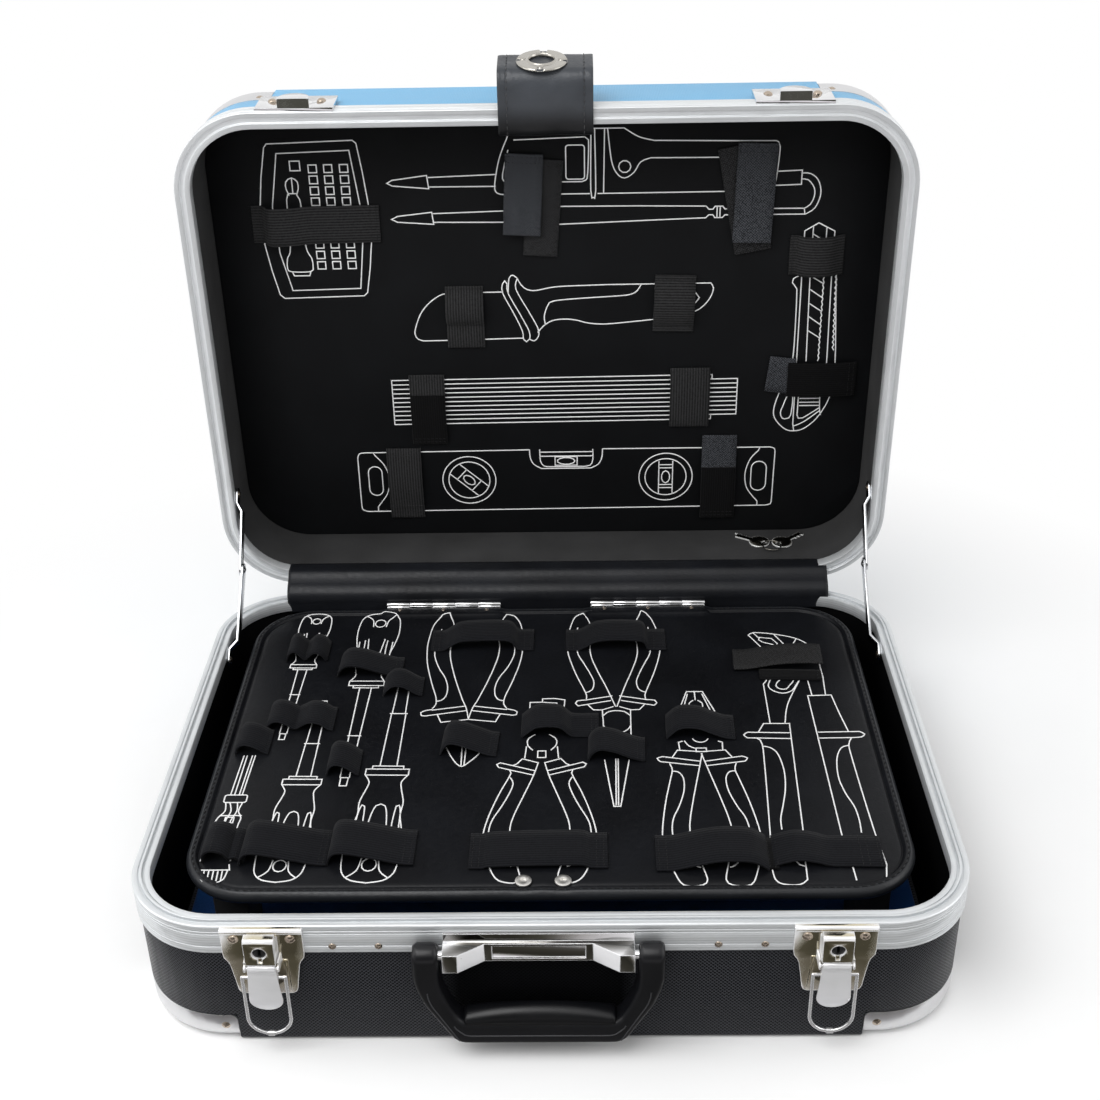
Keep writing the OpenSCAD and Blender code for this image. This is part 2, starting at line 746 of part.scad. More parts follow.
module handle_frame() {
    r = handle_t / 2;
    half = handle_w / 2;
    color([0.13, 0.13, 0.14]) on_front(handle_shift)
        translate([0, -handle_pivot[1], handle_pivot[0]]) difference() {
            union() {
                intersection() {
                    translate([0, 0, -r]) linear_extrude(handle_t) difference() {
                        handle_outline();
                        handle_window();
                    }
                    translate([-half, -100, -r]) cube([2 * half, 100, handle_t]);
                }
                for (u = [-1, 1]) translate([u * (half - handle_arm_w / 2), 0, 0])
                    rotate([0, 90, 0]) cylinder(r = r, h = handle_arm_w, center = true);
            }
            for (u = [-1, 1]) translate([u * (half - handle_arm_w - 1), 0, 0])
                rotate([0, u * 90, 0])
                    cylinder(d = handle_pin_d + 2 * run_gap, h = handle_arm_w - 1.5);
        }
}

// A soft roll on the inner side of the handle's bar, fuller in the middle
module handle_grip() {
    sag = 9;
    reach = ((grip_w / 2) ^ 2 + sag ^ 2) / (2 * sag);
    low = -handle_drop + band_h;
    color([0.11, 0.11, 0.12]) on_front(handle_shift)
        translate([0, -handle_pivot[1] + low, handle_pivot[0]]) intersection() {
            translate([0, sag - reach, 0]) cylinder(r = reach, h = handle_t - 0.6, center = true, $fn = 180);
            translate([-grip_w / 2, 0, -handle_t]) cube([grip_w, sag + 1, 2 * handle_t]);
            scale([1, 1, 1]) rotate([0, 90, 0]) cylinder(r = sag, h = grip_w, center = true);
        }
}

// ---------- lid stays ----------
// Arm along +Y from its wall pivot; X is its thickness, measured inwards from the pad's face
module stay_arm(len, crank) {
    pad = 7;
    ramp = 6;
    difference() {
        union() {
            translate([0, 0, -stay_w / 2]) linear_extrude(stay_w) polygon([[0, 0], [0, pad],
                [crank, pad + ramp], [crank, len], [crank + stay_t, len],
                [crank + stay_t, pad + ramp - 0.4], [stay_t, pad - 0.4], [stay_t, 0]]);
            rotate([0, 90, 0]) cylinder(d = stay_w, h = stay_t);
            translate([crank, len, 0]) rotate([0, 90, 0]) cylinder(d = stay_w, h = stay_t);
        }
        translate([-1, 0, 0]) rotate([0, 90, 0]) cylinder(r = stay_pin_r + run_gap, h = 4);
        translate([crank - 1, len, 0]) rotate([0, 90, 0])
            cylinder(r = stay_pin_r, h = stay_t + 2);
    }
}

module stay_upper(side) {
    at = stay_top;
    turn = atan2(stay_knee[1] - at[1], stay_knee[0] - at[0]);
    color([0.76, 0.77, 0.78]) scale([-side, 1, 1]) translate([-stay_pad_x, at[0], at[1]])
        rotate([turn, 0, 0]) stay_arm(stay_upper_len, stay_pad_x - stay_upper_x);
}

module stay_lower(side) {
    at = stay_base;
    turn = atan2(stay_knee[1] - at[1], stay_knee[0] - at[0]);
    crank = stay_pad_x - stay_lower_x;
    color([0.76, 0.77, 0.78]) scale([-side, 1, 1]) translate([-stay_pad_x, at[0], at[1]])
        rotate([turn, 0, 0]) {
            stay_arm(stay_lower_len, crank);
            translate([crank + seat_gap, stay_lower_len, 0]) rotate([0, 90, 0])
                cylinder(r = stay_pin_r, h = stay_t);
            translate([crank + stay_t, stay_lower_len, 0]) rotate([0, 90, 0]) rivet(3, 1.2);
        }
}

// Headed pins that hold the arms' end pads, standing off the linings
module stay_rivet(at) {
    wall = case_w / 2 - lining_in;
    both_sides() translate([-wall, at[0], at[1]]) rotate([0, 90, 0]) {
        cylinder(r = 3, h = wall - stay_pad_x - 0.1);
        cylinder(r = stay_pin_r, h = wall - stay_pad_x + stay_t + 0.2);
        translate([0, 0, wall - stay_pad_x + stay_t + 0.1]) rivet(2.8, 1.2);
    }
}

module stay_rivets_base() {
    color([0.75, 0.68, 0.58]) stay_rivet(stay_base);
}

module stay_rivets_lid() {
    color([0.75, 0.68, 0.58]) opened() stay_rivet(stay_lid);
}

// ---------- pallet ----------
module edging_section() {
    lip = edging_lip;
    r = pallet_t / 2 + lip;
    difference() {
        union() {
            translate([-edging_w, -lip]) square([edging_w - r, 2 * r]);
            translate([-r, r - lip]) circle(r);
        }
        translate([-edging_w - 1, 0]) square([edging_w - 1, pallet_t]);
    }
}

module pallet_board() {
    color([0.07, 0.07, 0.08]) translate([0, pallet_y, pallet_top - pallet_t])
        linear_extrude(pallet_t)
            rounded_rect(pallet_w - 4, pallet_l - 4, pallet_r - 2);
}

module pallet_edging() {
    color([0.05, 0.05, 0.06]) translate([0, pallet_y, pallet_top - pallet_t])
        ring(pallet_w, pallet_l, pallet_r) edging_section();
}

// [x, y, length along x, width along y] for a pallet of the size in loops_drawn
loops_drawn = [414, 296, 7.4];
pallet_loops = [
    [-184.5, -99, 20, 28], [-150, -102, 49, 30], [-100, -102, 49, 30], [-6, -106, 78, 30],
    [91, -109, 62, 30], [156, -108, 62, 26], [-48, 112, 70, 26], [43, 111, 68, 26],
    [-50, -5, 35, 25], [6, 13, 48, 25], [41, -12, 34, 24], [94, 10, 42, 25],
    [-166, 100, 27, 24], [-121, 80, 42, 23], [-159, 22, 42, 25], [-126, -24, 19, 25],
    [-97, 57, 25, 21], [-185, -2, 20, 25]];

module pallet_elastic_loops() {
    color([0.04, 0.04, 0.05]) for (p = pallet_loops) on_pallet(p[0], p[1])
        cube([p[2], p[3], pallet_loop_h], center = true);
}

// Places that keep their share of the pallet when it changes size
module on_pallet(x, y) {
    translate([x * pallet_w / loops_drawn[0],
        pallet_y + (y - loops_drawn[2]) * pallet_l / loops_drawn[1],
        pallet_top + pallet_loop_h / 2]) children();
}

module pallet_hook_strap() {
    color([0.04, 0.04, 0.05]) on_pallet(150, 83) cube([58, 24, pallet_loop_h], center = true);
}

module press_studs() {
    color([0.80, 0.80, 0.81]) for (x = [-14, 8])
        translate([x, pallet_y - pallet_l / 2 + 9.6, pallet_top + edging_lip]) difference() {
            cylinder(r = 4.6, h = 1);
            translate([0, 0, 0.4]) cylinder(r = 1.6, h = 2);
        }
}

module pallet_rivets() {
    color([0.78, 0.78, 0.79]) for (x = pallet_hinge_xs, u = [-1, 0, 1])
        translate([x + u * pallet_hinge_len * 0.38, pallet_hinge[0] - 6,
            pallet_leaf_z + pallet_leaf_t])
            rivet(1.9, 0.8);
}

// Alternate knuckles of the pallet hinges; parity picks whose they are
module pallet_knuckles(parity) {
    count = 5;
    step = pallet_hinge_len / count;
    for (x = pallet_hinge_xs, k = [0:count - 1]) if (k % 2 == parity)
        translate([x - pallet_hinge_len / 2 + k * step + 0.15, pallet_hinge[0], pallet_hinge[1]])
            rotate([0, 90, 0]) children();
}

module pallet_bore(gap) {
    for (x = pallet_hinge_xs)
        translate([x - pallet_hinge_len / 2 - 1, pallet_hinge[0], pallet_hinge[1]])
            rotate([0, 90, 0]) cylinder(r = pallet_pin_r + gap, h = pallet_hinge_len + 2);
}

module pallet_leaves() {
    step = pallet_hinge_len / 5 - 0.3;
    color([0.80, 0.81, 0.82]) difference() {
        union() {
            for (x = pallet_hinge_xs)
                translate([x - pallet_hinge_len / 2, pallet_hinge[0] - 10, pallet_leaf_z])
                    cube([pallet_hinge_len, 7.5, pallet_leaf_t]);
            pallet_knuckles(0) {
                cylinder(r = pallet_knuckle_r, h = step);
                translate([pallet_hinge[1] - pallet_leaf_z - pallet_leaf_t, -3, 0])
                    cube([pallet_leaf_t, 3, step]);
            }
        }
        pallet_bore(run_gap);
    }
}

module pallet_wall_leaves() {
    step = pallet_hinge_len / 5 - 0.3;
    wall = case_d / 2 - frame_face;
    color([0.80, 0.81, 0.82]) difference() {
        union() {
            for (x = pallet_hinge_xs)
                translate([x - pallet_hinge_len / 2, wall - 0.9, pallet_hinge[1] - 14])
                    cube([pallet_hinge_len, 0.9, 12]);
            pallet_knuckles(1) {
                cylinder(r = pallet_knuckle_r, h = step);
                translate([0.6, 0, 0]) cube([1.4, wall - pallet_hinge[0], step]);
                translate([1, wall - pallet_hinge[0] - 0.9, 0]) cube([4, 0.9, step]);
            }
        }
        pallet_bore(0);
    }
}

module pallet_hinge_pins() {
    color([0.70, 0.70, 0.71]) for (x = pallet_hinge_xs)
        translate([x - pallet_hinge_len / 2, pallet_hinge[0], pallet_hinge[1]])
            rotate([0, 90, 0]) cylinder(r = pallet_pin_r, h = pallet_hinge_len);
}

// Four posts standing on the mat carry the pallet
module pallet_rests() {
    foot = shell_wall + mat_t;
    under = pallet_top - pallet_t - edging_lip - 0.3;
    color([0.10, 0.10, 0.11]) both_sides() for (share = [-0.313, 0.329])
        translate([pallet_w / 2 - 30, pallet_y + share * pallet_l - 15, foot])
            cube([20, 30, under - foot]);
}

// ---------- lid straps ----------
// [x, y with the lid shut, length along x, width along y] for a panel of this size
straps_drawn = [444, 318];
lid_loops = [
    [-155, -78, 84, 30], [-58, -14, 30, 42], [84, -22, 31, 39], [-88, 53, 27, 48],
    [98, 49, 30, 44], [-107, 113, 27, 52], [180, -56, 39, 30]];
lid_hooks = [
    [-14, -98, 32, 80], [133, -95, 38, 76], [123, 116, 31, 62], [184, 32, 60, 29]];

module lid_strap_pads(list) {
    opened() for (p = list)
        translate([p[0] * panel_w / straps_drawn[0], p[1] * panel_l / straps_drawn[1],
            panel_z - lid_loop_h / 2])
            cube([p[2], p[3], lid_loop_h], center = true);
}

module lid_elastic_loops() {
    color([0.04, 0.04, 0.05]) lid_strap_pads(lid_loops);
}

module lid_hook_straps() {
    color([0.04, 0.04, 0.05]) lid_strap_pads(lid_hooks);
}

// Strap fixed inside the lid's front wall, standing in a loop over the frame.
// Section in [depth into the lid, height above the lid's front side]
function strap_path(off) = [
    [frame_web + 5 + 0, -frame_face - 1 - off], [-0.6 - off, -frame_face - 0.5 - off],
    [-0.6 - off, strap_rise * 0.65], [0.6 - off, strap_rise * 0.9],
    [3.4 - off * 0.6, strap_rise + off * 0.7], [24 + off * 0.6, strap_rise + 3 + off],
    [26 + off, strap_rise + 1], [26 + off, strap_rise * 0.4], [23.5 + off, 0.4]];

module lid_strap() {
    path = concat(strap_path(leather_t), [for (k = [len(strap_path(0)) - 1:-1:0]) strap_path(0)[k]]);
    color([0.12, 0.12, 0.13]) opened() translate([-strap_w / 2 + 1, 0, 0])
        on_front(0) rotate([0, 90, 0]) linear_extrude(strap_w)
            polygon([for (p = path) [-p[1], p[0]]]);
}

module strap_snap() {
    tilt = atan(3 / 20);
    color([0.80, 0.79, 0.76]) opened() on_front(-1)
        translate([0, 11.5, strap_rise + leather_t + 1.2]) rotate([tilt, 0, 0]) difference() {
            cylinder(r = 16.5, h = 1.4);
            translate([0, 0, -1]) cylinder(r = 8, h = 4);
        }
}

// Leatherette over the gap between the two frames, inside the case
module hinge_cover() {
    wall = case_d / 2 - frame_face;
    lid_edge = swing_open([wall, base_h]);
    low = [[wall - 0.2, base_h - 1.6], [wall - 0.4, base_h + 2], [wall + 4, base_h + 8.5],
        lid_edge + [-4.4, -3], lid_edge + [-0.8, 0.2], lid_edge + [4, 0.4]];
    top = [for (k = [len(low) - 1:-1:0]) low[k] + leather_t * [-0.7, 0.75]];
    around = [case_w, case_d, corner_r];
    color([0.13, 0.13, 0.15]) difference() {
        translate([-cover_w / 2 + 2.7, 0, 0]) rotate([90, 0, 90])
            linear_extrude(cover_w) polygon(concat(low, top));
        translate([0, 0, base_h]) ring(around[0], around[1], around[2])
            translate([-frame_face - 0.05, -20]) square([40, 20.05]);
        opened() translate([0, 0, base_h]) ring(around[0], around[1], around[2])
            translate([-frame_face - 0.05, closing_gap - 0.05]) square([40, 20]);
    }
}

// ---------- keys ----------
key_t = 1.2;
keys_from_side = 65;
key_bow_r = 7.5;

module key(blade_l) {
    difference() {
        union() {
            circle(r = key_bow_r);
            translate([-2, 0]) square([4, key_bow_r + blade_l]);
            for (k = [0:2]) translate([1.8, key_bow_r + 4 + 3.5 * k]) square([1.4, 1.8]);
        }
        translate([0, -4]) circle(r = 1.8);
    }
}

// On the lid's rear wall: X along it, Y the depth into the lid
module on_rear_wall(x, depth, turn) {
    opened() translate([x, case_d / 2 - lining_in - 0.3, base_h + depth]) rotate([90, 0, 0])
        rotate([0, 0, turn]) children();
}

module keys() {
    color([0.72, 0.72, 0.68]) {
        on_rear_wall(case_w / 2 - keys_from_side, 35, -50) linear_extrude(key_t) key(12);
        on_rear_wall(case_w / 2 - keys_from_side - 16.5, 36, 60) linear_extrude(key_t) key(11);
    }
}

module key_wire() {
    color([0.75, 0.75, 0.76]) on_rear_wall(case_w / 2 - keys_from_side - 8.1, 29.2, 0) translate([0, 0, key_t + 0.5])
        rotate_extrude() translate([6.6, 0]) circle(r = 0.45);
}

// ---------- drawing ----------
base_shell();
base_frame();
base_lining();
floor_mat();
base_corner_guards();
base_rivets();
latch_plate(-1);  // latch_plate_left
latch_plate(1);  // latch_plate_right
handle_bracket();
handle_pins();
base_hinge_leaves();
hinge_pins();
stay_rivets_base();
pallet_rests();
pallet_wall_leaves();
pallet_hinge_pins();
hinge_cover();
lid_shell();
lid_frame();
lid_lining();
tool_panel();
lid_corner_guards();
lid_rivets();
catch_plate(-1);  // catch_left
catch_plate(1);  // catch_right
lid_hinge_leaves();
stay_rivets_lid();
lid_elastic_loops();
lid_hook_straps();
lid_strap();
strap_snap();
keys();
key_wire();
pallet_board();
pallet_edging();
pallet_elastic_loops();
pallet_hook_strap();
pallet_leaves();
pallet_rivets();
press_studs();
handle_frame();
handle_grip();
lever(-1);  // lever_left
lever(1);  // lever_right
bail(-1);  // bail_left
bail(1);  // bail_right
bail_clip(-1);  // bail_clip_left
bail_clip(1);  // bail_clip_right
lock_plug(-1);  // lock_plug_left
lock_plug(1);  // lock_plug_right
stay_upper(-1);  // stay_upper_left
stay_upper(1);  // stay_upper_right
stay_lower(-1);  // stay_lower_left
stay_lower(1);  // stay_lower_right
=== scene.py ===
import bpy, math, random, re
from math import sin, cos, pi, radians, degrees
from mathutils import Matrix, Vector


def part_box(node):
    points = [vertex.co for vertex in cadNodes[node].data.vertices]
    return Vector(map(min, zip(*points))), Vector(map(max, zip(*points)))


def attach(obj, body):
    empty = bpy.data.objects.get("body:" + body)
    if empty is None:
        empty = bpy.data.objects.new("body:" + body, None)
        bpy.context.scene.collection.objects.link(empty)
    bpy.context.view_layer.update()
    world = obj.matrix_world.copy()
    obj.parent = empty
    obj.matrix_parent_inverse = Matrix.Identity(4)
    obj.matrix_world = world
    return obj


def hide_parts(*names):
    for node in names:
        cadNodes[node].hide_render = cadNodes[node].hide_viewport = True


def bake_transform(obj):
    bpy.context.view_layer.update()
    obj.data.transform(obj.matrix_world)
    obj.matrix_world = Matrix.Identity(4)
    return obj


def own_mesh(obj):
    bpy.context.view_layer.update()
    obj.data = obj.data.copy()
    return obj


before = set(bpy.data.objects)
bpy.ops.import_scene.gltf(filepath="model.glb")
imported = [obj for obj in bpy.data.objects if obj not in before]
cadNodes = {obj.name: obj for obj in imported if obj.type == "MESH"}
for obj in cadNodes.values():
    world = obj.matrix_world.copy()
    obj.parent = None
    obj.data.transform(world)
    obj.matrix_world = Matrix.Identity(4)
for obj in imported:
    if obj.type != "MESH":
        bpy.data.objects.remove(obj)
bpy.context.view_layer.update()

# Everything below is measured in millimetres and turned into metres when a mesh is made
caseSizes = {"width": 465, "depth": 339, "cornerRadius": 52, "baseHeight": 86, "lidHeight": 62,
             "lidAngle": 88.5, "hingeY": 175.0, "lidPanelFace": 140.5, "palletTop": 81.25}
hingePoint = Vector((0, caseSizes["hingeY"], caseSizes["baseHeight"]))
lidSwing = (Matrix.Translation(hingePoint) @ Matrix.Rotation(radians(-caseSizes["lidAngle"]), 4, "X")
            @ Matrix.Translation(-hingePoint))  # from the shut lid to the open one
print("frame loaded,", len(cadNodes), "nodes")


# tools for nodes and meshes
def addNode(tree, kind, inputs=None, **settings):
    node = tree.nodes.new("ShaderNode" + kind)
    for key, value in settings.items():
        setattr(node, key, value)
    for key, value in (inputs or {}).items():
        if isinstance(value, bpy.types.NodeSocket):
            tree.links.new(value, node.inputs[key])
        else:
            node.inputs[key].default_value = value
    return node


def calc(tree, operation, *values):
    return addNode(tree, "Math", dict(enumerate(values)), operation=operation).outputs[0]


def remap(tree, value, low, high, newLow=0.0, newHigh=1.0, **settings):
    span = addNode(tree, "MapRange", {0: value, 1: low, 2: high, 3: newLow, 4: newHigh}, **settings)
    return span.outputs[0]


def axes(tree, vector):
    return list(addNode(tree, "SeparateXYZ", {0: vector}).outputs)


def objectPlace(tree):
    return addNode(tree, "TexCoord").outputs["Object"]


def noise(tree, scale, detail, roughness=0.5):
    inputs = {"Vector": objectPlace(tree), "Scale": scale, "Detail": detail, "Roughness": roughness}
    return addNode(tree, "TexNoise", inputs).outputs[0]


def newMaterial(name):
    material = bpy.data.materials.new(name)
    material.use_nodes = True
    return material, material.node_tree


def newObject(name, data):
    made = bpy.data.objects.new(name, data)
    bpy.context.scene.collection.objects.link(made)
    return made


def newMesh(name, points, faces):
    mesh = bpy.data.meshes.new(name)
    mesh.from_pydata(points, [], faces)
    return mesh


def rowFaces(rows, across, closed=False, start=0):
    # quads between rows that have the same number of points
    faces = []
    for r in range(rows - 1):
        for c in range(across if closed else across - 1):
            low, high = start + r * across, start + (r + 1) * across
            d = (c + 1) % across
            faces.append((low + c, low + d, high + d, high + c))
    return faces


def tubeFaces(rows, around, start=0):
    # a tube of closed rows with a cap at both ends
    last = start + (rows - 1) * around
    caps = [tuple(reversed(range(start, start + around))), tuple(range(last, last + around))]
    return rowFaces(rows, around, True, start) + caps


# camera, floor and light
cameraView = {"place": (18.16, -782.34, 665.40), "down": 29.796, "aside": -1.2036, "roll": -1.172,
              "lens": 50.77}
studio = {"roomLight": 0.62, "keyWatts": 16, "sideWatts": 5, "bandLow": -0.75, "bandHigh": 0.1}
floorShape = {"size": 4.0, "steps": 24, "below": -0.0003, "fadeFrom": 0.32, "fadeTo": 0.62}
cardShapes = {  # two corners in metres, then shades going away from the case
    "floorCard": ((-1.0, -1.3, 0.002), (1.0, -0.178, 0.002),
                  ((0.0, 0.30), (0.07, 0.10), (0.15, 0.06), (0.20, 0.14), (0.30, 0.75), (1.0, 0.95))),
    "wallCard": ((-1.0, -1.3, 0.0), (1.0, -1.3, 0.95), ((0, 0.08), (1, 0.08)))}


def makeCamera():
    down, aside, roll = (radians(cameraView[k]) for k in ("down", "aside", "roll"))
    ahead = Vector((sin(aside) * cos(down), cos(aside) * cos(down), -sin(down)))
    right = Vector((cos(aside), -sin(aside), 0))
    above = right.cross(ahead)
    x = right * cos(roll) + above * sin(roll)
    y = above * cos(roll) - right * sin(roll)
    data = bpy.data.cameras.new("productCamera")
    data.sensor_width = 36
    data.lens = cameraView["lens"]
    data.clip_start, data.clip_end = 0.05, 20
    camera = newObject("productCamera", data)
    turn = Matrix((x, y, -ahead)).transposed().to_4x4()
    camera.matrix_world = Matrix.Translation(Vector(cameraView["place"]) * 0.001) @ turn
    bpy.context.scene.camera = camera


def makeRoom():
    world = bpy.data.worlds.new("studioRoom")
    bpy.context.scene.world = world
    world.use_nodes = True
    tree = world.node_tree
    tree.nodes.clear()
    path = addNode(tree, "LightPath").outputs
    away, up = axes(tree, addNode(tree, "TexCoord").outputs["Generated"])[1:]
    # metal sees a white room with a dark band on the photographer's side
    height = remap(tree, up, -0.1, 0.55, 0.22, 1.0)
    side = remap(tree, away, studio["bandLow"], studio["bandHigh"])
    room = calc(tree, "MAXIMUM", height, side)
    seen = addNode(tree, "Mix", {0: path["Is Camera Ray"], 2: room, 3: 1.0}).outputs[0]
    mirrored = calc(tree, "MAXIMUM", path["Is Glossy Ray"], path["Is Transmission Ray"])
    sharp = calc(tree, "MAXIMUM", path["Is Camera Ray"], mirrored)
    strength = addNode(tree, "Mix", {0: sharp, 2: studio["roomLight"], 3: seen}).outputs[0]
    back = addNode(tree, "Background", {0: (1, 1, 1, 1), 1: strength})
    addNode(tree, "OutputWorld", {0: back.outputs[0]})


def makeLamps():
    key, side = studio["keyWatts"], studio["sideWatts"]
    for name, place, aimHeight, width, length, watts in (
            ("keyPanel", (-0.5, -0.7, 1.5), 0.1, 1.2, 0.9, key),
            ("leftPanel", (-1.5, -0.3, 0.7), 0.15, 0.8, 1.2, side),
            ("rightPanel", (1.5, -0.3, 0.7), 0.15, 0.8, 1.2, side)):
        data = bpy.data.lights.new(name, "AREA")
        data.shape, data.size, data.size_y, data.energy = "RECTANGLE", width, length, watts
        lamp = newObject(name, data)
        lamp.location = place
        aim = Vector((0, 0, aimHeight)) - Vector(place)
        lamp.rotation_euler = aim.to_track_quat("-Z", "Y").to_euler()


def makeFloor():
    size, steps = floorShape["size"], floorShape["steps"]
    marks = [k * size / steps - size / 2 for k in range(steps + 1)]
    mesh = newMesh("paleFloor", [(x, y, floorShape["below"]) for y in marks for x in marks],
                   rowFaces(steps + 1, steps + 1))
    floor = newObject("paleFloor", mesh)
    material, tree = newMaterial("paleFloorPaint")
    paint = tree.nodes["Principled BSDF"]
    grain = addNode(tree, "TexNoise", {"Scale": 40.0, "Detail": 3.0})
    shade = remap(tree, grain.outputs[0], 0.0, 1.0, 0.92, 0.96)
    tint = addNode(tree, "CombineColor", {0: shade, 1: shade, 2: shade})
    tree.links.new(tint.outputs[0], paint.inputs["Base Color"])
    paint.inputs["Roughness"].default_value = 0.9
    # the far floor fades into the white room
    path = addNode(tree, "LightPath").outputs
    reach = addNode(tree, "VectorMath", {0: objectPlace(tree)}, operation="LENGTH")
    fade = remap(tree, reach.outputs[1], floorShape["fadeFrom"], floorShape["fadeTo"])
    white = addNode(tree, "Emission", {0: (1, 1, 1, 1), 1: 1.0})
    seen = calc(tree, "MAXIMUM", path["Is Camera Ray"], path["Is Glossy Ray"])
    blend = calc(tree, "MULTIPLY", fade, seen)
    mix = addNode(tree, "MixShader", {0: blend, 1: paint.outputs[0], 2: white.outputs[0]})
    tree.links.new(mix.outputs[0], tree.nodes["Material Output"].inputs[0])
    mesh.materials.append(material)


def makeCards():
    # black cards that only mirrors see, as beside a photographer's table
    for name, (low, high, stops) in cardShapes.items():
        corners = [low, (high[0], low[1], low[2]), high, (low[0], high[1], high[2])]
        mesh = newMesh(name, corners, [(0, 1, 2, 3)])
        card = newObject(name, mesh)
        paper, tree = newMaterial(name + "Paper")
        away = remap(tree, axes(tree, objectPlace(tree))[1], -0.178, -0.9)
        ramp = addNode(tree, "ValToRGB", {0: away})
        while len(ramp.color_ramp.elements) < len(stops):
            ramp.color_ramp.elements.new(0.5)
        for element, (at, shade) in zip(ramp.color_ramp.elements, stops):
            warmth = 0.82 if shade < 0.2 else 1.0
            element.position, element.color = at, (shade, shade * 0.97, shade * warmth, 1)
        glow = addNode(tree, "Emission", {0: ramp.outputs[0], 1: 1.0})
        tree.links.new(glow.outputs[0], tree.nodes["Material Output"].inputs[0])
        mesh.materials.append(paper)
        for ray in ("camera", "diffuse", "shadow", "transmission"):
            setattr(card, "visible_" + ray, False)


bpy.context.scene.view_settings.view_transform = "Standard"
makeCamera()
makeRoom()
makeLamps()
makeFloor()
makeCards()
print("camera, studio and floor made")


# finishes
def newFinish(name, color, metallic, roughness, gloss=0.5):
    material, tree = newMaterial(name)
    surface = tree.nodes["Principled BSDF"]
    for key, value in (("Base Color", (*color, 1)), ("Metallic", metallic), ("Roughness", roughness),
                       ("Specular IOR Level", gloss)):
        surface.inputs[key].default_value = value
    return material, tree, surface


def varyColor(tree, surface, fac, dark, light, low=0.3, high=0.7):
    ramp = addNode(tree, "ValToRGB", {0: fac})
    for element, at, color in zip(ramp.color_ramp.elements, (low, high), (dark, light)):
        element.position, element.color = at, (*color, 1)
    tree.links.new(ramp.outputs[0], surface.inputs["Base Color"])


def scaleColor(tree, surface, level):
    color = surface.inputs["Base Color"].links[0].from_socket
    shaded = addNode(tree, "VectorMath", {0: color, "Scale": level}, operation="SCALE")
    tree.links.new(shaded.outputs[0], surface.inputs["Base Color"])


def varyRough(tree, surface, fac, low, high):
    tree.links.new(remap(tree, fac, 0.3, 0.7, low, high), surface.inputs["Roughness"])


def addBump(tree, surface, height, depth, strength=1.0):
    bump = addNode(tree, "Bump", {"Height": height, "Distance": depth * 0.001, "Strength": strength})
    old = surface.inputs["Normal"]
    if old.is_linked:
        tree.links.new(old.links[0].from_socket, bump.inputs["Normal"])
    tree.links.new(bump.outputs[0], surface.inputs["Normal"])


def aroundCase(tree, ofLid):
    # distance round the case's outline and height above the floor with the lid shut, in millimetres
    place = objectPlace(tree)
    if ofLid:
        turn = {"Vector": place, "Center": hingePoint * 0.001, "Angle": radians(caseSizes["lidAngle"])}
        place = addNode(tree, "VectorRotate", turn, rotation_type="X_AXIS").outputs[0]
    x, y, z = (calc(tree, "MULTIPLY", s, 1000.0) for s in axes(tree, place))
    radius = caseSizes["cornerRadius"]
    a, b = caseSizes["width"] / 2 - radius, caseSizes["depth"] / 2 - radius
    absX, absY = calc(tree, "ABSOLUTE", x), calc(tree, "ABSOLUTE", y)
    overX = calc(tree, "MAXIMUM", calc(tree, "SUBTRACT", absX, a), 0.0)
    overY = calc(tree, "MAXIMUM", calc(tree, "SUBTRACT", absY, b), 0.0)
    angle = calc(tree, "ARCTAN2", overX, calc(tree, "ADD", overY, 0.0001))
    front = calc(tree, "ADD", calc(tree, "MINIMUM", absX, a), calc(tree, "MULTIPLY", angle, radius))
    side = calc(tree, "SUBTRACT", b, calc(tree, "MINIMUM", absY, b))
    return calc(tree, "ADD", front, side), x, y, z


def diamondHeight(tree, along, up, pitch):
    p, q = calc(tree, "DIVIDE", along, pitch), calc(tree, "DIVIDE", up, pitch)
    first = calc(tree, "PINGPONG", calc(tree, "ADD", p, q), 0.5)
    second = calc(tree, "PINGPONG", calc(tree, "SUBTRACT", p, q), 0.5)
    return calc(tree, "MINIMUM", first, calc(tree, "MULTIPLY", second, 1.4))


def shellFinish(name, dark, light, roughness, ofLid, pitch, gloss, span):
    material, tree, surface = newFinish(name, light, 0.0, roughness, gloss)
    along, x, y, z = aroundCase(tree, ofLid)
    skin = 1.5  # the flat underside or top begins this far in
    top = caseSizes["baseHeight"] + caseSizes["lidHeight"]
    edge = calc(tree, "GREATER_THAN", z, top - skin) if ofLid else calc(tree, "LESS_THAN", z, skin)
    sides, flat = diamondHeight(tree, along, z, pitch), diamondHeight(tree, x, y, pitch)
    height = addNode(tree, "Mix", {0: edge, 2: sides, 3: flat}).outputs[0]
    height = calc(tree, "SUBTRACT", 1.0, calc(tree, "MULTIPLY", height, 2.0))
    varyColor(tree, surface, height, dark, light, *span)
    if not ofLid:  # painted shade: the sheet's colour and gloss are darkened behind the carrying handle
        beside = remap(tree, calc(tree, "ABSOLUTE", calc(tree, "ADD", x, 5.0)), 56.0, 44.0)
        above = remap(tree, calc(tree, "ABSOLUTE", calc(tree, "SUBTRACT", z, 44.0)), 38.0, 22.0)
        front = calc(tree, "LESS_THAN", y, 0.0)
        paintedHandleShade = calc(tree, "MULTIPLY", calc(tree, "MULTIPLY", beside, above), front)
        unshadedShare = calc(tree, "SUBTRACT", 1.0, calc(tree, "MULTIPLY", paintedHandleShade, 0.85))
        scaleColor(tree, surface, unshadedShare)
        tree.links.new(calc(tree, "MULTIPLY", unshadedShare, gloss), surface.inputs["Specular IOR Level"])
    varyRough(tree, surface, noise(tree, 14.0, 4.0), roughness - 0.05, roughness + 0.08)
    addBump(tree, surface, height, 0.22, 0.9)
    return material


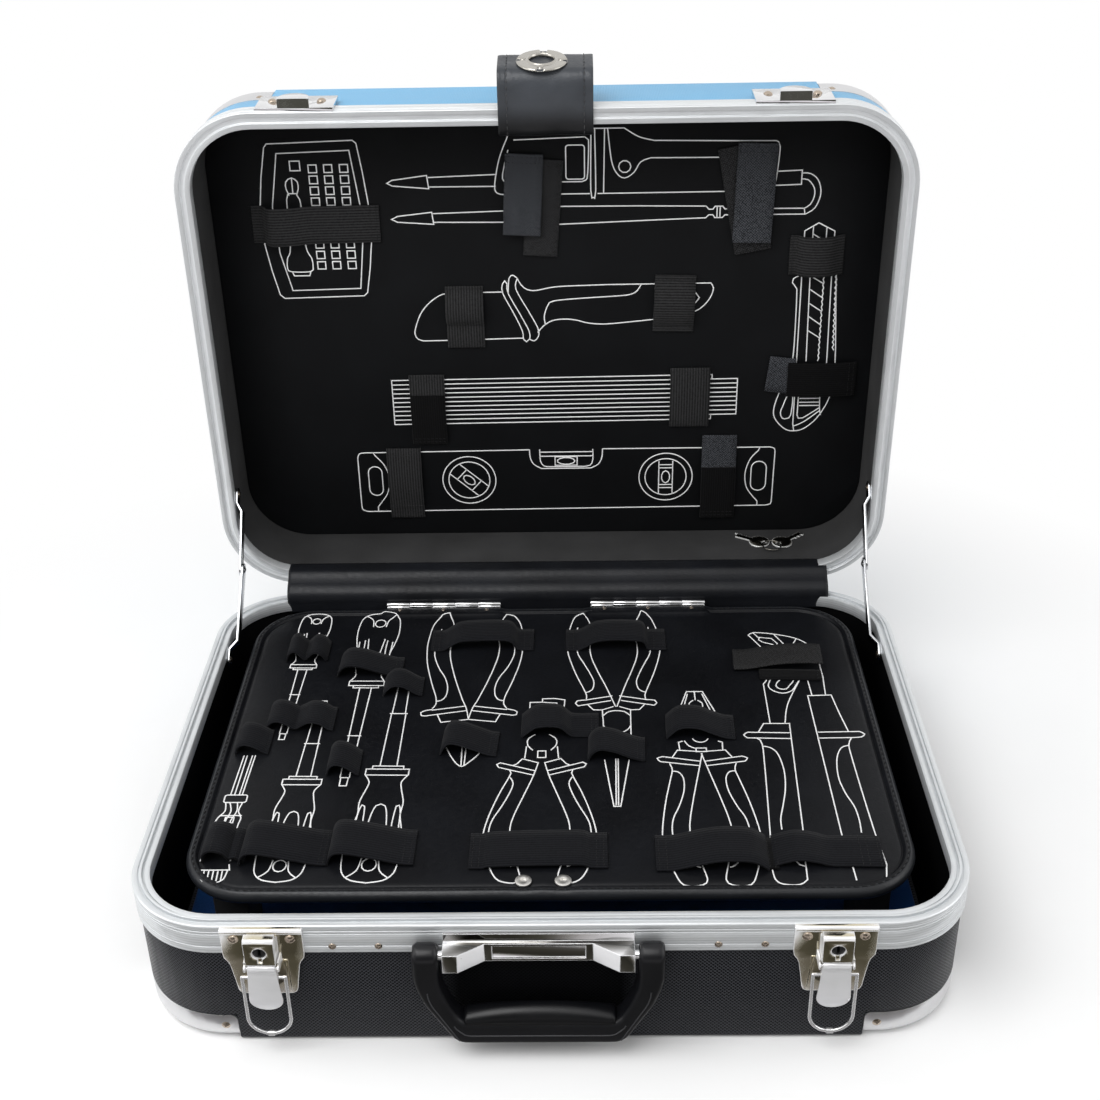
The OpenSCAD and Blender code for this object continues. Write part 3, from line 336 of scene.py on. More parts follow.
def brushedFinish(name, color, roughness, ofLid):
    material, tree, surface = newFinish(name, color, 0.55, roughness)
    along, x, y, z = aroundCase(tree, ofLid)
    inward = calc(tree, "MULTIPLY", calc(tree, "ADD", x, y), 0.01)
    grain = addNode(tree, "CombineXYZ", {0: calc(tree, "MULTIPLY", along, 0.002),
                                         1: calc(tree, "MULTIPLY", z, 1.3), 2: inward})
    streak = addNode(tree, "TexNoise", {"Vector": grain.outputs[0], "Scale": 3.0, "Detail": 5.0}).outputs[0]
    varyRough(tree, surface, streak, roughness - 0.03, roughness + 0.05)
    drawn = calc(tree, "PINGPONG", calc(tree, "DIVIDE", calc(tree, "ADD", z, 0.45), 1.7), 0.5)
    drawn = remap(tree, drawn, 0.02, 0.14, -0.55, 0.0)
    varyColor(tree, surface, calc(tree, "ADD", streak, drawn), [c * 0.72 for c in color], color, -0.05, 0.55)
    addBump(tree, surface, calc(tree, "ADD", calc(tree, "MULTIPLY", streak, 0.06), drawn), 0.08, 0.3)
    return material


def mirrorFinish(name, bright, dark, low, high, topShade=1.0):
    # plated sheet with painted reflections: faces square to the case get a dark colour, as if they mirrored
    # the dark table, folded faces and rims a bright colour, as if they caught the light, and faces turned
    # upward are darkened by the top shade
    material, tree, surface = newFinish(name, bright, 1.0, low)
    rim = addNode(tree, "Bevel", {"Radius": 0.0007}).outputs[0]
    ahead, up = axes(tree, rim)[1:]
    square = calc(tree, "MAXIMUM", calc(tree, "ABSOLUTE", ahead), calc(tree, "ABSOLUTE", up))
    flat = remap(tree, square, 0.945, 0.985)
    varyColor(tree, surface, flat, bright, dark, 0.0, 1.0)
    scaleColor(tree, surface, remap(tree, up, 0.96, 0.99, 1.0, topShade))
    tree.links.new(calc(tree, "MULTIPLY_ADD", flat, 0.7, 0.3), surface.inputs["Metallic"])
    tree.links.new(rim, surface.inputs["Normal"])
    wear = noise(tree, 70.0, 3.0)
    varyRough(tree, surface, wear, low, high)
    addBump(tree, surface, wear, 0.04, 0.2)
    return material


def polishedFinish(name, color, low, high, scale=60.0, waves=0.05, metal=1.0, detail=5.0):
    material, tree, surface = newFinish(name, color, metal, low)
    wear = noise(tree, scale, detail, 0.65)
    varyRough(tree, surface, wear, low, high)
    varyColor(tree, surface, wear, [c * 0.9 for c in color], color)
    addBump(tree, surface, wear, waves, 0.25)
    return material


def grainFinish(name, dark, light, low, high, cell, depth, gloss):
    # leatherette: small rounded cells with fine creases between them
    material, tree, surface = newFinish(name, light, 0.0, high, gloss)
    size = {"Vector": objectPlace(tree), "Scale": 1000.0 / cell}
    cells = addNode(tree, "TexVoronoi", size, feature="SMOOTH_F1").outputs[0]
    creases = noise(tree, 420.0 / cell, 4.0)
    height = calc(tree, "MULTIPLY_ADD", creases, 0.6, calc(tree, "SUBTRACT", 1.0, cells))
    varyColor(tree, surface, noise(tree, 22.0, 3.0), dark, light)
    varyRough(tree, surface, creases, low, high)
    addBump(tree, surface, height, depth, 0.8)
    return material


def strapFinish(name, dark, light):
    # the strap's leatherette is a lighter grey, partly a painted sheen, and painted shade darkens it towards
    # its foot, where it turns under the lid's rim
    material = grainFinish(name, dark, light, 0.30, 0.42, 1.2, 0.10, 0.34)
    tree = material.node_tree
    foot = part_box("lid_strap")[0][2]
    height = axes(tree, objectPlace(tree))[2]
    footShade = remap(tree, height, foot, foot + 0.016, 0.12, 1.0, interpolation_type="SMOOTHSTEP")
    scaleColor(tree, tree.nodes["Principled BSDF"], footShade)
    return material


def clothFinish(name, dark, light, roughness=0.9, scale=1600.0, depth=0.12, sheen=0.15, gloss=0.15):
    material, tree, surface = newFinish(name, light, 0.0, roughness, gloss)
    fuzz, broad = noise(tree, scale, 3.0, 0.7), noise(tree, 26.0, 4.0)
    both = calc(tree, "MULTIPLY_ADD", broad, 0.6, calc(tree, "MULTIPLY", fuzz, 0.4))
    varyColor(tree, surface, both, dark, light)
    addBump(tree, surface, fuzz, depth, 0.7)
    surface.inputs["Sheen Weight"].default_value = sheen
    return material


def webbingFinish(name, dark, light, ribs=1.9, roughness=0.8):
    # woven elastic: ribs run along the tape, fine picks cross it; the map is laid out in millimetres
    material, tree, surface = newFinish(name, light, 0.0, roughness, 0.06)
    along, across = axes(tree, addNode(tree, "TexCoord").outputs["UV"])[:2]
    rib = calc(tree, "PINGPONG", calc(tree, "DIVIDE", across, ribs), 0.5)
    pick = calc(tree, "PINGPONG", calc(tree, "DIVIDE", along, 0.8), 0.5)
    weave = calc(tree, "MULTIPLY_ADD", pick, 0.45, rib)
    fray = noise(tree, 900.0, 3.0)
    varyColor(tree, surface, calc(tree, "MULTIPLY_ADD", fray, 0.5, weave), dark, light, 0.25, 0.85)
    addBump(tree, surface, weave, 0.28, 0.8)
    addBump(tree, surface, fray, 0.1, 0.6)
    surface.inputs["Sheen Weight"].default_value = 0.04
    return material


def hookTapeFinish(name, dark, light):
    # hook tape: tiny pale hooks standing in rows on a dark ground
    material, tree, surface = newFinish(name, light, 0.0, 0.75, 0.08)
    turn = {"Vector": addNode(tree, "TexCoord").outputs["UV"], "Angle": radians(38)}
    turned = addNode(tree, "VectorRotate", turn, rotation_type="Z_AXIS").outputs[0]
    hooks = addNode(tree, "TexVoronoi", {"Vector": turned, "Scale": 0.78, "Randomness": 0.3})
    height = calc(tree, "SUBTRACT", 0.75, hooks.outputs[0])
    fray = noise(tree, 1500.0, 2.0)
    varyColor(tree, surface, calc(tree, "MULTIPLY_ADD", fray, 0.3, height), dark, light, 0.3, 0.75)
    addBump(tree, surface, height, 0.2, 0.6)
    return material


def mouldedFinish(name, color, low, high, scale=900.0, depth=0.03, gloss=0.5):
    material, tree, surface = newFinish(name, color, 0.0, low, gloss)
    wear = noise(tree, 35.0, 4.0)
    varyRough(tree, surface, wear, low, high)
    varyColor(tree, surface, wear, [c * 0.8 for c in color], color)
    addBump(tree, surface, noise(tree, scale, 2.0), depth, 0.5)
    return material


finishes = {
    "blackDiamond": shellFinish("blackDiamondSheet", (0.002, 0.002, 0.0025), (0.054, 0.057, 0.066), 0.36,
        False, 2.3, 0.12, (0.55, 1.0)),
    "blueDiamond": shellFinish("blueDiamondSheet", (0.05, 0.27, 0.52), (0.24, 0.57, 0.85), 0.34, True, 2.0,
        0.4, (0.1, 0.9)),
    "baseAluminium": brushedFinish("baseFrameAluminium", (0.71, 0.73, 0.745), 0.40, False),
    # painted light: the lid's frame has a lighter copy of the base frame's aluminium
    "lidAluminium": brushedFinish("lidFrameAluminium", (0.79, 0.81, 0.825), 0.40, True),
    "guardSteel": polishedFinish("guardSteel", (0.72, 0.72, 0.73), 0.26, 0.38, 40.0, 0.02),
    "chrome": polishedFinish("latchChrome", (0.82, 0.82, 0.83), 0.05, 0.14),
    # painted reflections: the latch plates and bracket get dark faces and bright rims in their colour
    "latchChrome": mirrorFinish("latchPlateChrome", (0.90, 0.90, 0.91), (0.66, 0.60, 0.46), 0.05, 0.13),
    "bracketChrome": mirrorFinish("handleBracketChrome", (0.90, 0.90, 0.92), (0.34, 0.33, 0.31), 0.05,
        0.12, 0.22),
    "leverSteel": polishedFinish("leverSatinSteel", (0.86, 0.86, 0.88), 0.20, 0.28, 40.0, 0.01, 0.45, 2.0),
    "wireSteel": polishedFinish("wireSteel", (0.86, 0.86, 0.87), 0.10, 0.18, 40.0, 0.0, 0.75, 2.0),
    "rivetSteel": polishedFinish("warmRivetSteel", (0.52, 0.44, 0.36), 0.18, 0.34, 200.0),
    # painted reflection: the keys get dark faces and bright rims in their colour
    "keyNickel": mirrorFinish("keyNickel", (0.84, 0.84, 0.83), (0.34, 0.32, 0.25), 0.08, 0.2, 0.6),
    "keyWire": polishedFinish("darkKeyWire", (0.20, 0.19, 0.17), 0.22, 0.38, 160.0),
    "staySteel": polishedFinish("stayPlatedSteel", (0.60, 0.61, 0.63), 0.12, 0.2, 60.0, 0.02),
    "lockBlack": mouldedFinish("lockPlugBlack", (0.012, 0.012, 0.013), 0.25, 0.40),
    "handlePlastic": mouldedFinish("handleSatinPlastic", (0.006, 0.0062, 0.0078), 0.30, 0.42, 900.0, 0.03,
        0.32),
    "gripRubber": mouldedFinish("gripSoftPlastic", (0.0042, 0.0044, 0.0056), 0.32, 0.44, 500.0, 0.05, 0.32),
    "liningCloth": clothFinish("liningFelt", (0.0015, 0.0015, 0.0017), (0.004, 0.004, 0.0045), 0.9, 1600.0,
        0.12, 0.0, 0.02),
    "lidLining": clothFinish("lidLiningFelt", (0.026, 0.026, 0.026), (0.050, 0.050, 0.051), 0.9, 1600.0,
        0.12, 0.02, 0.06),
    "matCloth": clothFinish("blueMatFelt", (0.003, 0.028, 0.12), (0.006, 0.075, 0.27), 0.92, 900.0, 0.3,
        0.25),
    "panelSkin": clothFinish("panelBlackSkin", (0.0022, 0.0024, 0.003), (0.0042, 0.0048, 0.0058), 0.6,
        2200.0, 0.05, 0.02),
    "palletSkin": grainFinish("palletLeatherette", (0.003, 0.0032, 0.0042), (0.006, 0.0066, 0.0085), 0.36,
        0.50, 1.3, 0.07, 0.16),
    # painted sheen: a lighter copy of the pallet leatherette for the rolled edging
    "rimSkin": grainFinish("palletRimLeatherette", (0.007, 0.0077, 0.0095), (0.014, 0.0155, 0.0185), 0.30,
        0.42, 1.3, 0.07, 0.36),
    # painted sheen in the strap's grey colour, and painted shade at its foot
    "strapSkin": strapFinish("strapLeatherette", (0.030, 0.033, 0.038), (0.054, 0.060, 0.070)),
    "coverSkin": grainFinish("hingeCoverLeatherette", (0.005, 0.0053, 0.0065), (0.0105, 0.0115, 0.0145),
        0.32, 0.48, 1.4, 0.10, 0.22),
    "restWood": clothFinish("restBlockFelt", (0.010, 0.010, 0.011), (0.020, 0.020, 0.021)),
    "webbing": webbingFinish("elasticWebbing", (0.0012, 0.0012, 0.0015), (0.0115, 0.012, 0.0145)),
    "darkTape": webbingFinish("darkSewnTape", (0.001, 0.001, 0.001), (0.006, 0.006, 0.0065), 1.6, 0.85),
    "hookTape": hookTapeFinish("greyHookTape", (0.009, 0.009, 0.009), (0.036, 0.036, 0.037)),
    "lidLoopTape": hookTapeFinish("lidLoopTape", (0.006, 0.006, 0.006), (0.045, 0.045, 0.047)),
    "thread": clothFinish("blackThread", (0.004, 0.004, 0.0045), (0.014, 0.014, 0.015), 0.6, 2600.0, 0.05,
        0.04, 0.15),
    "strapThread": clothFinish("strapThread", (0.004, 0.004, 0.0045), (0.09, 0.09, 0.095), 0.5, 500.0,
        0.05, 0.04, 0.3),
    # painted highlight: lighter than the handle, so its raised lines show as lit ridges
    "handleLine": mouldedFinish("handleRaisedLine", (0.035, 0.036, 0.04), 0.30, 0.42),
    "snapNickel": polishedFinish("warmSnapNickel", (0.50, 0.48, 0.44), 0.16, 0.30, 60.0, 0.1, 0.9, 3.0),
    "studNickel": polishedFinish("flatStudNickel", (0.86, 0.84, 0.80), 0.34, 0.46, 120.0),
    "lidWebbing": webbingFinish("lidElasticWebbing", (0.0025, 0.0025, 0.0025), (0.034, 0.034, 0.035)),
    "lidHookTape": hookTapeFinish("lidHookTape", (0.007, 0.0075, 0.0085), (0.088, 0.093, 0.105)),
    "ink": clothFinish("whitePrintInk", (0.80, 0.80, 0.80), (0.92, 0.92, 0.92), 0.7, 700.0, 0.02, 0.0),
}
print("finishes mixed:", len(finishes))


# the pieces that come from the CAD
nodeFinishes = (  # finish, width of the softened edges, nodes
    ("blackDiamond", 0.25, "base_shell"), ("blueDiamond", 0.25, "lid_shell"),
    ("baseAluminium", 0.12, "base_frame"), ("lidAluminium", 0.12, "lid_frame"),
    ("guardSteel", 0.15, "base_corner_guards lid_corner_guards"),
    ("rivetSteel", 0, "base_rivets lid_rivets stay_rivets_base stay_rivets_lid pallet_rivets"),
    ("liningCloth", 0.4, "base_lining"), ("lidLining", 0.4, "lid_lining"), ("matCloth", 0.6, "floor_mat"),
    ("panelSkin", 0.4, "tool_panel"), ("latchChrome", 0.25, "latch_plate_left latch_plate_right"),
    ("chrome", 0.25, "catch_left catch_right"), ("bracketChrome", 0.4, "handle_bracket"),
    ("chrome", 0.2, "base_hinge_leaves lid_hinge_leaves strap_snap"), ("restWood", 0.6, "pallet_rests"),
    ("chrome", 0.15, "pallet_wall_leaves pallet_leaves"), ("studNickel", 0.15, "press_studs"),
    ("wireSteel", 0.2, "handle_pins hinge_pins"), ("wireSteel", 0.1, "pallet_hinge_pins"),
    ("wireSteel", 0, "bail_left bail_right bail_clip_left bail_clip_right"),
    ("leverSteel", 0.15, "lever_left lever_right"), ("lockBlack", 0.1, "lock_plug_left lock_plug_right"),
    ("staySteel", 0.15, "stay_upper_left stay_upper_right stay_lower_left stay_lower_right"),
    ("keyNickel", 0.15, "keys"), ("keyWire", 0, "key_wire"),
    ("palletSkin", 0.3, "pallet_board pallet_edging"),
    ("handlePlastic", 0.8, "handle_frame"), ("gripRubber", 0.8, "handle_grip"),
    ("strapSkin", 0.2, "lid_strap"), ("coverSkin", 0.2, "hinge_cover"),
    ("webbing", 0.3, "pallet_elastic_loops lid_elastic_loops lid_hook_straps pallet_hook_strap"))


def dressNode(name, finish, edge):
    node = cadNodes[name]
    count = len(node.data.polygons)
    node.data.materials.clear()
    node.data.materials.append(finishes[finish])
    node.data.polygons.foreach_set("use_smooth", [True] * count)
    node.data.polygons.foreach_set("material_index", [0] * count)
    node.modifiers.new("joinSeams", "WELD").merge_threshold = 0.00001
    if edge:
        bevel = node.modifiers.new("softEdges", "BEVEL")
        bevel.width, bevel.segments, bevel.limit_method = edge * 0.001, 2, "ANGLE"
        bevel.angle_limit = radians(32)
        bevel.harden_normals = bevel.use_clamp_overlap = True
    else:
        node.modifiers.new("keepEdges", "EDGE_SPLIT").split_angle = radians(35)


for finish, edge, names in nodeFinishes:
    for name in names.split():
        dressNode(name, finish, edge)
print("CAD pieces dressed:", sum(len(row[2].split()) for row in nodeFinishes))


# pieces made here
def makePiece(name, body, points, faces, finish, stands=(), place=None, mapping=None, numbers=None):
    # the numbers say which of the finishes each face has, the mapping lays the weave along a tape
    turned = [place @ Vector(p) if place else Vector(p) for p in points]
    mesh = newMesh(name, [p * 0.001 for p in turned], faces)
    for each in finish.split():
        mesh.materials.append(finishes[each])
    if numbers:
        mesh.polygons.foreach_set("material_index", numbers)
    if mapping:
        layer = mesh.uv_layers.new(name="tapeMap")
        for loop in mesh.loops:
            layer.data[loop.index].uv = mapping[loop.vertex_index]
    mesh.polygons.foreach_set("use_smooth", [True] * len(mesh.polygons))
    piece = newObject(name, mesh)
    mesh.validate()
    if stands:
        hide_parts(*stands)
    if body:
        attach(piece, body)
    return piece


def readPoints(text):
    return [tuple(float(v) for v in pair.split(",")) for pair in text.split()]


def smoothStep(value, low, high):
    t = max(0.0, min(1.0, (value - low) / (high - low)))
    return t * t * (3 - 2 * t)


def smoothPath(points, step, closed=False):
    # a Catmull-Rom curve through the points, cut into pieces of about one step
    count = len(points)
    result = []
    for i in range(count if closed else count - 1):
        a = points[(i - 1) % count] if closed or i > 0 else points[i]
        b, c = points[i], points[(i + 1) % count]
        d = points[(i + 2) % count] if closed or i + 2 < count else c
        pieces = max(1, int(math.dist(b, c) / step + 0.5))
        for k in range(pieces):
            t = k / pieces
            result.append(tuple(0.5 * (2 * q + (r - p) * t + (2 * p - 5 * q + 4 * r - s) * t * t
                                       + (3 * q - p - 3 * r + s) * t ** 3) for p, q, r, s in zip(a, b, c, d)))
    if not closed:
        result.append(tuple(points[-1]))
    return result


def wayAlong(line, i):
    # the way a flat line runs at one of its points, and the way to its left
    before, after = line[max(0, i - 1)], line[min(len(line) - 1, i + 1)]
    way = Vector((after[0] - before[0], after[1] - before[1]))
    way = way.normalized() if way.length > 1e-6 else Vector((1, 0))
    return way, Vector((-way[1], way[0]))


def roundedRing(halfX, halfY, radius, alongX, alongY, corner):
    # points round a rounded rectangle, always the same number and in the same order
    radius = max(0.01, min(radius, halfX - 0.01, halfY - 0.01))
    a, b = halfX - radius, halfY - radius
    points = []
    quarters = ((a, b, -a, halfY, alongX), (-a, b, -halfX, -b, alongY), (-a, -b, a, -halfY, alongX),
                (a, -b, halfX, b, alongY))  # each corner's middle, and where the straight after it ends
    for quarter, (cx, cy, nextX, nextY, count) in enumerate(quarters):
        for k in range(corner + 1):
            turn = pi / 2 * (quarter + k / corner)
            points.append((cx + radius * cos(turn), cy + radius * sin(turn)))
        x, y = points[-1]
        points += [(x + (nextX - x) * k / count, y + (nextY - y) * k / count) for k in range(1, count)]
    return points


def addStitch(points, faces, middle, along, above, length, thick):
    # one stitch: a small spindle that lies along the seam
    along, above = Vector(along).normalized(), Vector(above).normalized()
    side = above.cross(along)
    start, middle = len(points), Vector(middle)
    for share, size in ((-0.5, 0.25), (-0.25, 0.9), (0.25, 0.9), (0.5, 0.25)):
        for k in range(5):
            out = side * cos(2 * pi * k / 5) + above * sin(2 * pi * k / 5)
            points.append(middle + along * length * share + out * thick * size / 2)
    faces += tubeFaces(4, 5, start)


# the pallet's padded cover
palletCoverShape = {"halfX": 207.0, "rear": 155.4, "front": -140.6, "corner": 40.0, "top": 81.0,
                    "seamIn": 7.2, "stitchIn": 3.9, "stitchEvery": 4.3, "leafTop": 83.05, "leafHalf": 44.5,
                    "leafFront": 142.5, "leaves": (-78, 67), "studs": ((-14, -131), (8, -131)),
                    "ringPoints": (96, 60, 14)}
palletUnder = ("34,73.7 20,73.75 9,73.8 7.3,74.15 5.8,73.75 4,73.7 2.4,74 1.1,74.9 0.3,76.2 0,77.5 0.25,78.9 "
               "0.9,80.2")  # inset and height, from underneath and round the edge
palletOver = (1.6, 2.2, 2.8, 3.3, 3.6, 3.9, 4.2, 4.6, 5.2, 5.8, 6.3, 6.7, 7.0, 7.2, 7.4, 7.8, 8.3, 9.2, 10.5,
              12.5, 15, 19, 24, 30, 38, 48, 60, 74, 90, 108, 128, 147.4)  # insets over the top


def palletTopHeight(x, y, inset):
    # the padded rim, its stitch line and its sewn groove, from the pallet's edge inwards
    shape = palletCoverShape
    rim = 0.85 * smoothStep(inset, 0.0, 3.0) * (1 - smoothStep(inset, 5.6, shape["seamIn"]))
    stitch = -0.35 * math.exp(-((inset - shape["stitchIn"]) / 0.8) ** 2)
    groove = -0.95 * math.exp(-((inset - shape["seamIn"]) / 0.9) ** 2)
    field = 0.2 * smoothStep(inset, 8.0, 16.0) + 0.12 * sin(x * 0.031 + 1.0) * cos(y * 0.043)
    for stud in shape["studs"]:  # the studs press the cover down a little
        field -= 0.5 * (1 - smoothStep(math.dist((x, y), stud), 5.5, 10))
    height = shape["top"] + rim + stitch + groove + field
    overLeaf = max(smoothStep(shape["leafHalf"] - abs(x - leaf), 0, 3.5) for leaf in shape["leaves"])
    overLeaf *= smoothStep(y, shape["leafFront"], shape["leafFront"] + 3.8)
    return height + (shape["leafTop"] - height) * overLeaf


def makePalletCover():
    shape = palletCoverShape
    middleY, halfY = (shape["rear"] + shape["front"]) / 2, (shape["rear"] - shape["front"]) / 2

    def ringAt(inset, *fineness):
        return roundedRing(shape["halfX"] - inset, halfY - inset, shape["corner"] - inset, *fineness)

    alongX, alongY, corner = shape["ringPoints"]
    rings = [[(x, y + middleY, z) for x, y in ringAt(inset, *shape["ringPoints"])]
             for inset, z in readPoints(palletUnder)]
    for inset in palletOver:
        low = 1 - smoothStep(inset, 0.9, 3.2)
        rings.append([(x, y + middleY, palletTopHeight(x, y + middleY, inset) - 1.1 * low * low)
                      for x, y in ringAt(inset, *shape["ringPoints"])])
    across = len(rings[0])
    faces = tubeFaces(len(rings), across)
    onRim = [int(6 <= k // across <= 17) for k in range(len(faces))]  # the rolled edging gets the lighter rim leatherette, a painted sheen
    points = [p for ring in rings for p in ring]
    cover = makePiece("palletCover", "pallet", points, faces, "palletSkin rimSkin",
                      ("pallet_board", "pallet_edging"), numbers=onRim)

    # twisted stitches along the rim, with gaps at the hinge leaves
    seam = ringAt(shape["stitchIn"], alongX * 4, alongY * 4, corner * 6)
    points, faces = [], []
    travelled, previous = 0.0, seam[-1]
    for x, y in seam:
        travelled += math.dist((x, y), previous)
        atLeaf = y + middleY > 141 and any(abs(x - leaf) < 44 for leaf in shape["leaves"])
        if travelled >= shape["stitchEvery"] and not atLeaf:
            travelled = 0.0
            along = Vector((x - previous[0], y - previous[1], 0)).normalized()
            twisted = along + along.cross(Vector((0, 0, 1))) * 0.25
            z = palletTopHeight(x, y + middleY, shape["stitchIn"]) + 0.12
            addStitch(points, faces, (x, y + middleY, z), twisted, (0, 0, 1), 3.3, 0.95)
        previous = (x, y)
    makePiece("palletRimStitches", "pallet", points, faces, "thread")


# printed outlines of the tools
printInk = {"width": 0.82, "thick": 0.16, "step": 2.2, "sunk": 0.1, "closest": 0.25}


def readStrokes(text):
    # "~" curves through its points and "-" goes straight; a doubled sign closes the line
    signs = re.findall("[~-]+(?= )", text)
    strokes = []
    for sign, rest in zip(signs, re.split("[~-]+ ", text)[1:]):
        points, closed = readPoints(rest), len(sign) == 2
        strokes.append((smoothPath(points, printInk["step"], closed) if sign[0] == "~" else points, closed))
    return strokes


def moved(strokes, x=0.0, y=0.0, scale=1.0, turn=0.0, flip=False):
    c, s = cos(radians(turn)), sin(radians(turn))
    result = []
    for points, closed in strokes:
        scaled = [(px * scale, (-py if flip else py) * scale) for px, py in points]
        result.append(([(x + px * c - py * s, y + px * s + py * c) for px, py in scaled], closed))
    return result


def roundPrint(cx, cy, radiusX, radiusY, start=0, end=360):
    count = max(10, int((radiusX + radiusY) * 1.3))
    full = end - start >= 360
    angles = [radians(start + (end - start) * k / count) for k in range(count if full else count + 1)]
    return [(cx + radiusX * cos(angle), cy + radiusY * sin(angle)) for angle in angles], full


def boxPrint(cx, cy, width, height, corner=0.0):
    a, b = width / 2, height / 2
    ring = roundedRing(a, b, corner, 1, 1, 4) if corner else [(-a, -b), (a, -b), (a, b), (-a, b)]
    return [(cx + x, cy + y) for x, y in ring], True


def bothSides(strokes, middle):
    return strokes + [([(2 * middle - px, py) for px, py in points], closed) for points, closed in strokes]


def printPiece(name, body, strokes, height, up, place=None):
    # every stroke becomes a thin raised ribbon of ink
    points, faces = [], []
    half, thick, sunk = printInk["width"] / 2, printInk["thick"], printInk["sunk"]
    for path, closed in strokes:
        clean = [path[0]]
        for p in path[1:]:
            if math.dist(p, clean[-1]) > printInk["closest"]:
                clean.append(p)
        if closed and math.dist(clean[0], clean[-1]) < printInk["closest"]:
            clean.pop()
        if len(clean) < 2:
            continue
        start, count = len(points), len(clean)
        for i, (x, y) in enumerate(clean):
            before = clean[i - 1] if i or closed else clean[i]
            after = clean[(i + 1) % count] if i + 1 < count or closed else clean[i]
            first = Vector((x - before[0], y - before[1]))
            second = Vector((after[0] - x, after[1] - y))
            first = first.normalized() if first.length > 1e-6 else second.normalized()
            second = second.normalized() if second.length > 1e-6 else first
            along = first + second
            along = along.normalized() if along.length > 1e-3 else first
            side = Vector((-along[1], along[0])) * (half / max(0.5, along.dot(first)))
            base = height(x, y)
            if not closed and i in (0, count - 1):  # rounded off a little at the ends
                shift = along * half * (-0.5 if i == 0 else 0.5)
                x, y = x + shift[0], y + shift[1]
            for share, rise in ((1.0, -sunk), (0.85, thick), (-0.85, thick), (-1.0, -sunk)):
                points.append((x + side[0] * share, y + side[1] * share, base + up * rise))
        for face in rowFaces(count + 1 if closed else count, 4):
            turned = tuple(start + v % (count * 4) for v in face)
            faces.append(turned if up > 0 else turned[::-1])
    makePiece(name, body, points, faces, "ink", (), place)


def driverPrint(x, y, scale, turn, flip, shaftHalf, stepAt, tipAt, tipHalf):
    # a screwdriver on its handle's round end, 102 mm to the top of its collar, then its shaft
    side = readStrokes(
        "~ 0,0 9,2 14,7 15.8,15 16.4,30 14.8,45 12.6,58 13,70 10.6,82 9.8,89 13.2,96 - 13.2,96 "
        "13.2,101.5 0,101.5 - 0,95.6 13,95.6 - 9.5,101.5 9.5,104.5 0,104.5 ~ 13,42 12.4,60 11,67 "
        "9.4,66 8.6,52 8.8,40 ~ 6.4,38 4.6,58 2.6,66.5 0,68 ~ 5,20 6.5,10 11.5,4.5")
    shaft = readStrokes("- %g,104.5 %g,%g - 0,%g %g,%g - %g,%g %g,%g - 0,%g %g,%g %g,%g 0,%g" % (
        shaftHalf, shaftHalf - 0.6, stepAt, stepAt, shaftHalf + 0.4, stepAt, tipHalf + 0.6, stepAt, tipHalf,
        tipAt - 9, tipAt - 9, tipHalf - 0.5, tipAt - 9, tipHalf - 0.8, tipAt, tipAt))
    whole = bothSides(side, 0.0) + [roundPrint(0, 15, 4.2, 5.4)] + bothSides(shaft, 0.0)
    return moved(whole, x, y, scale, turn, flip)


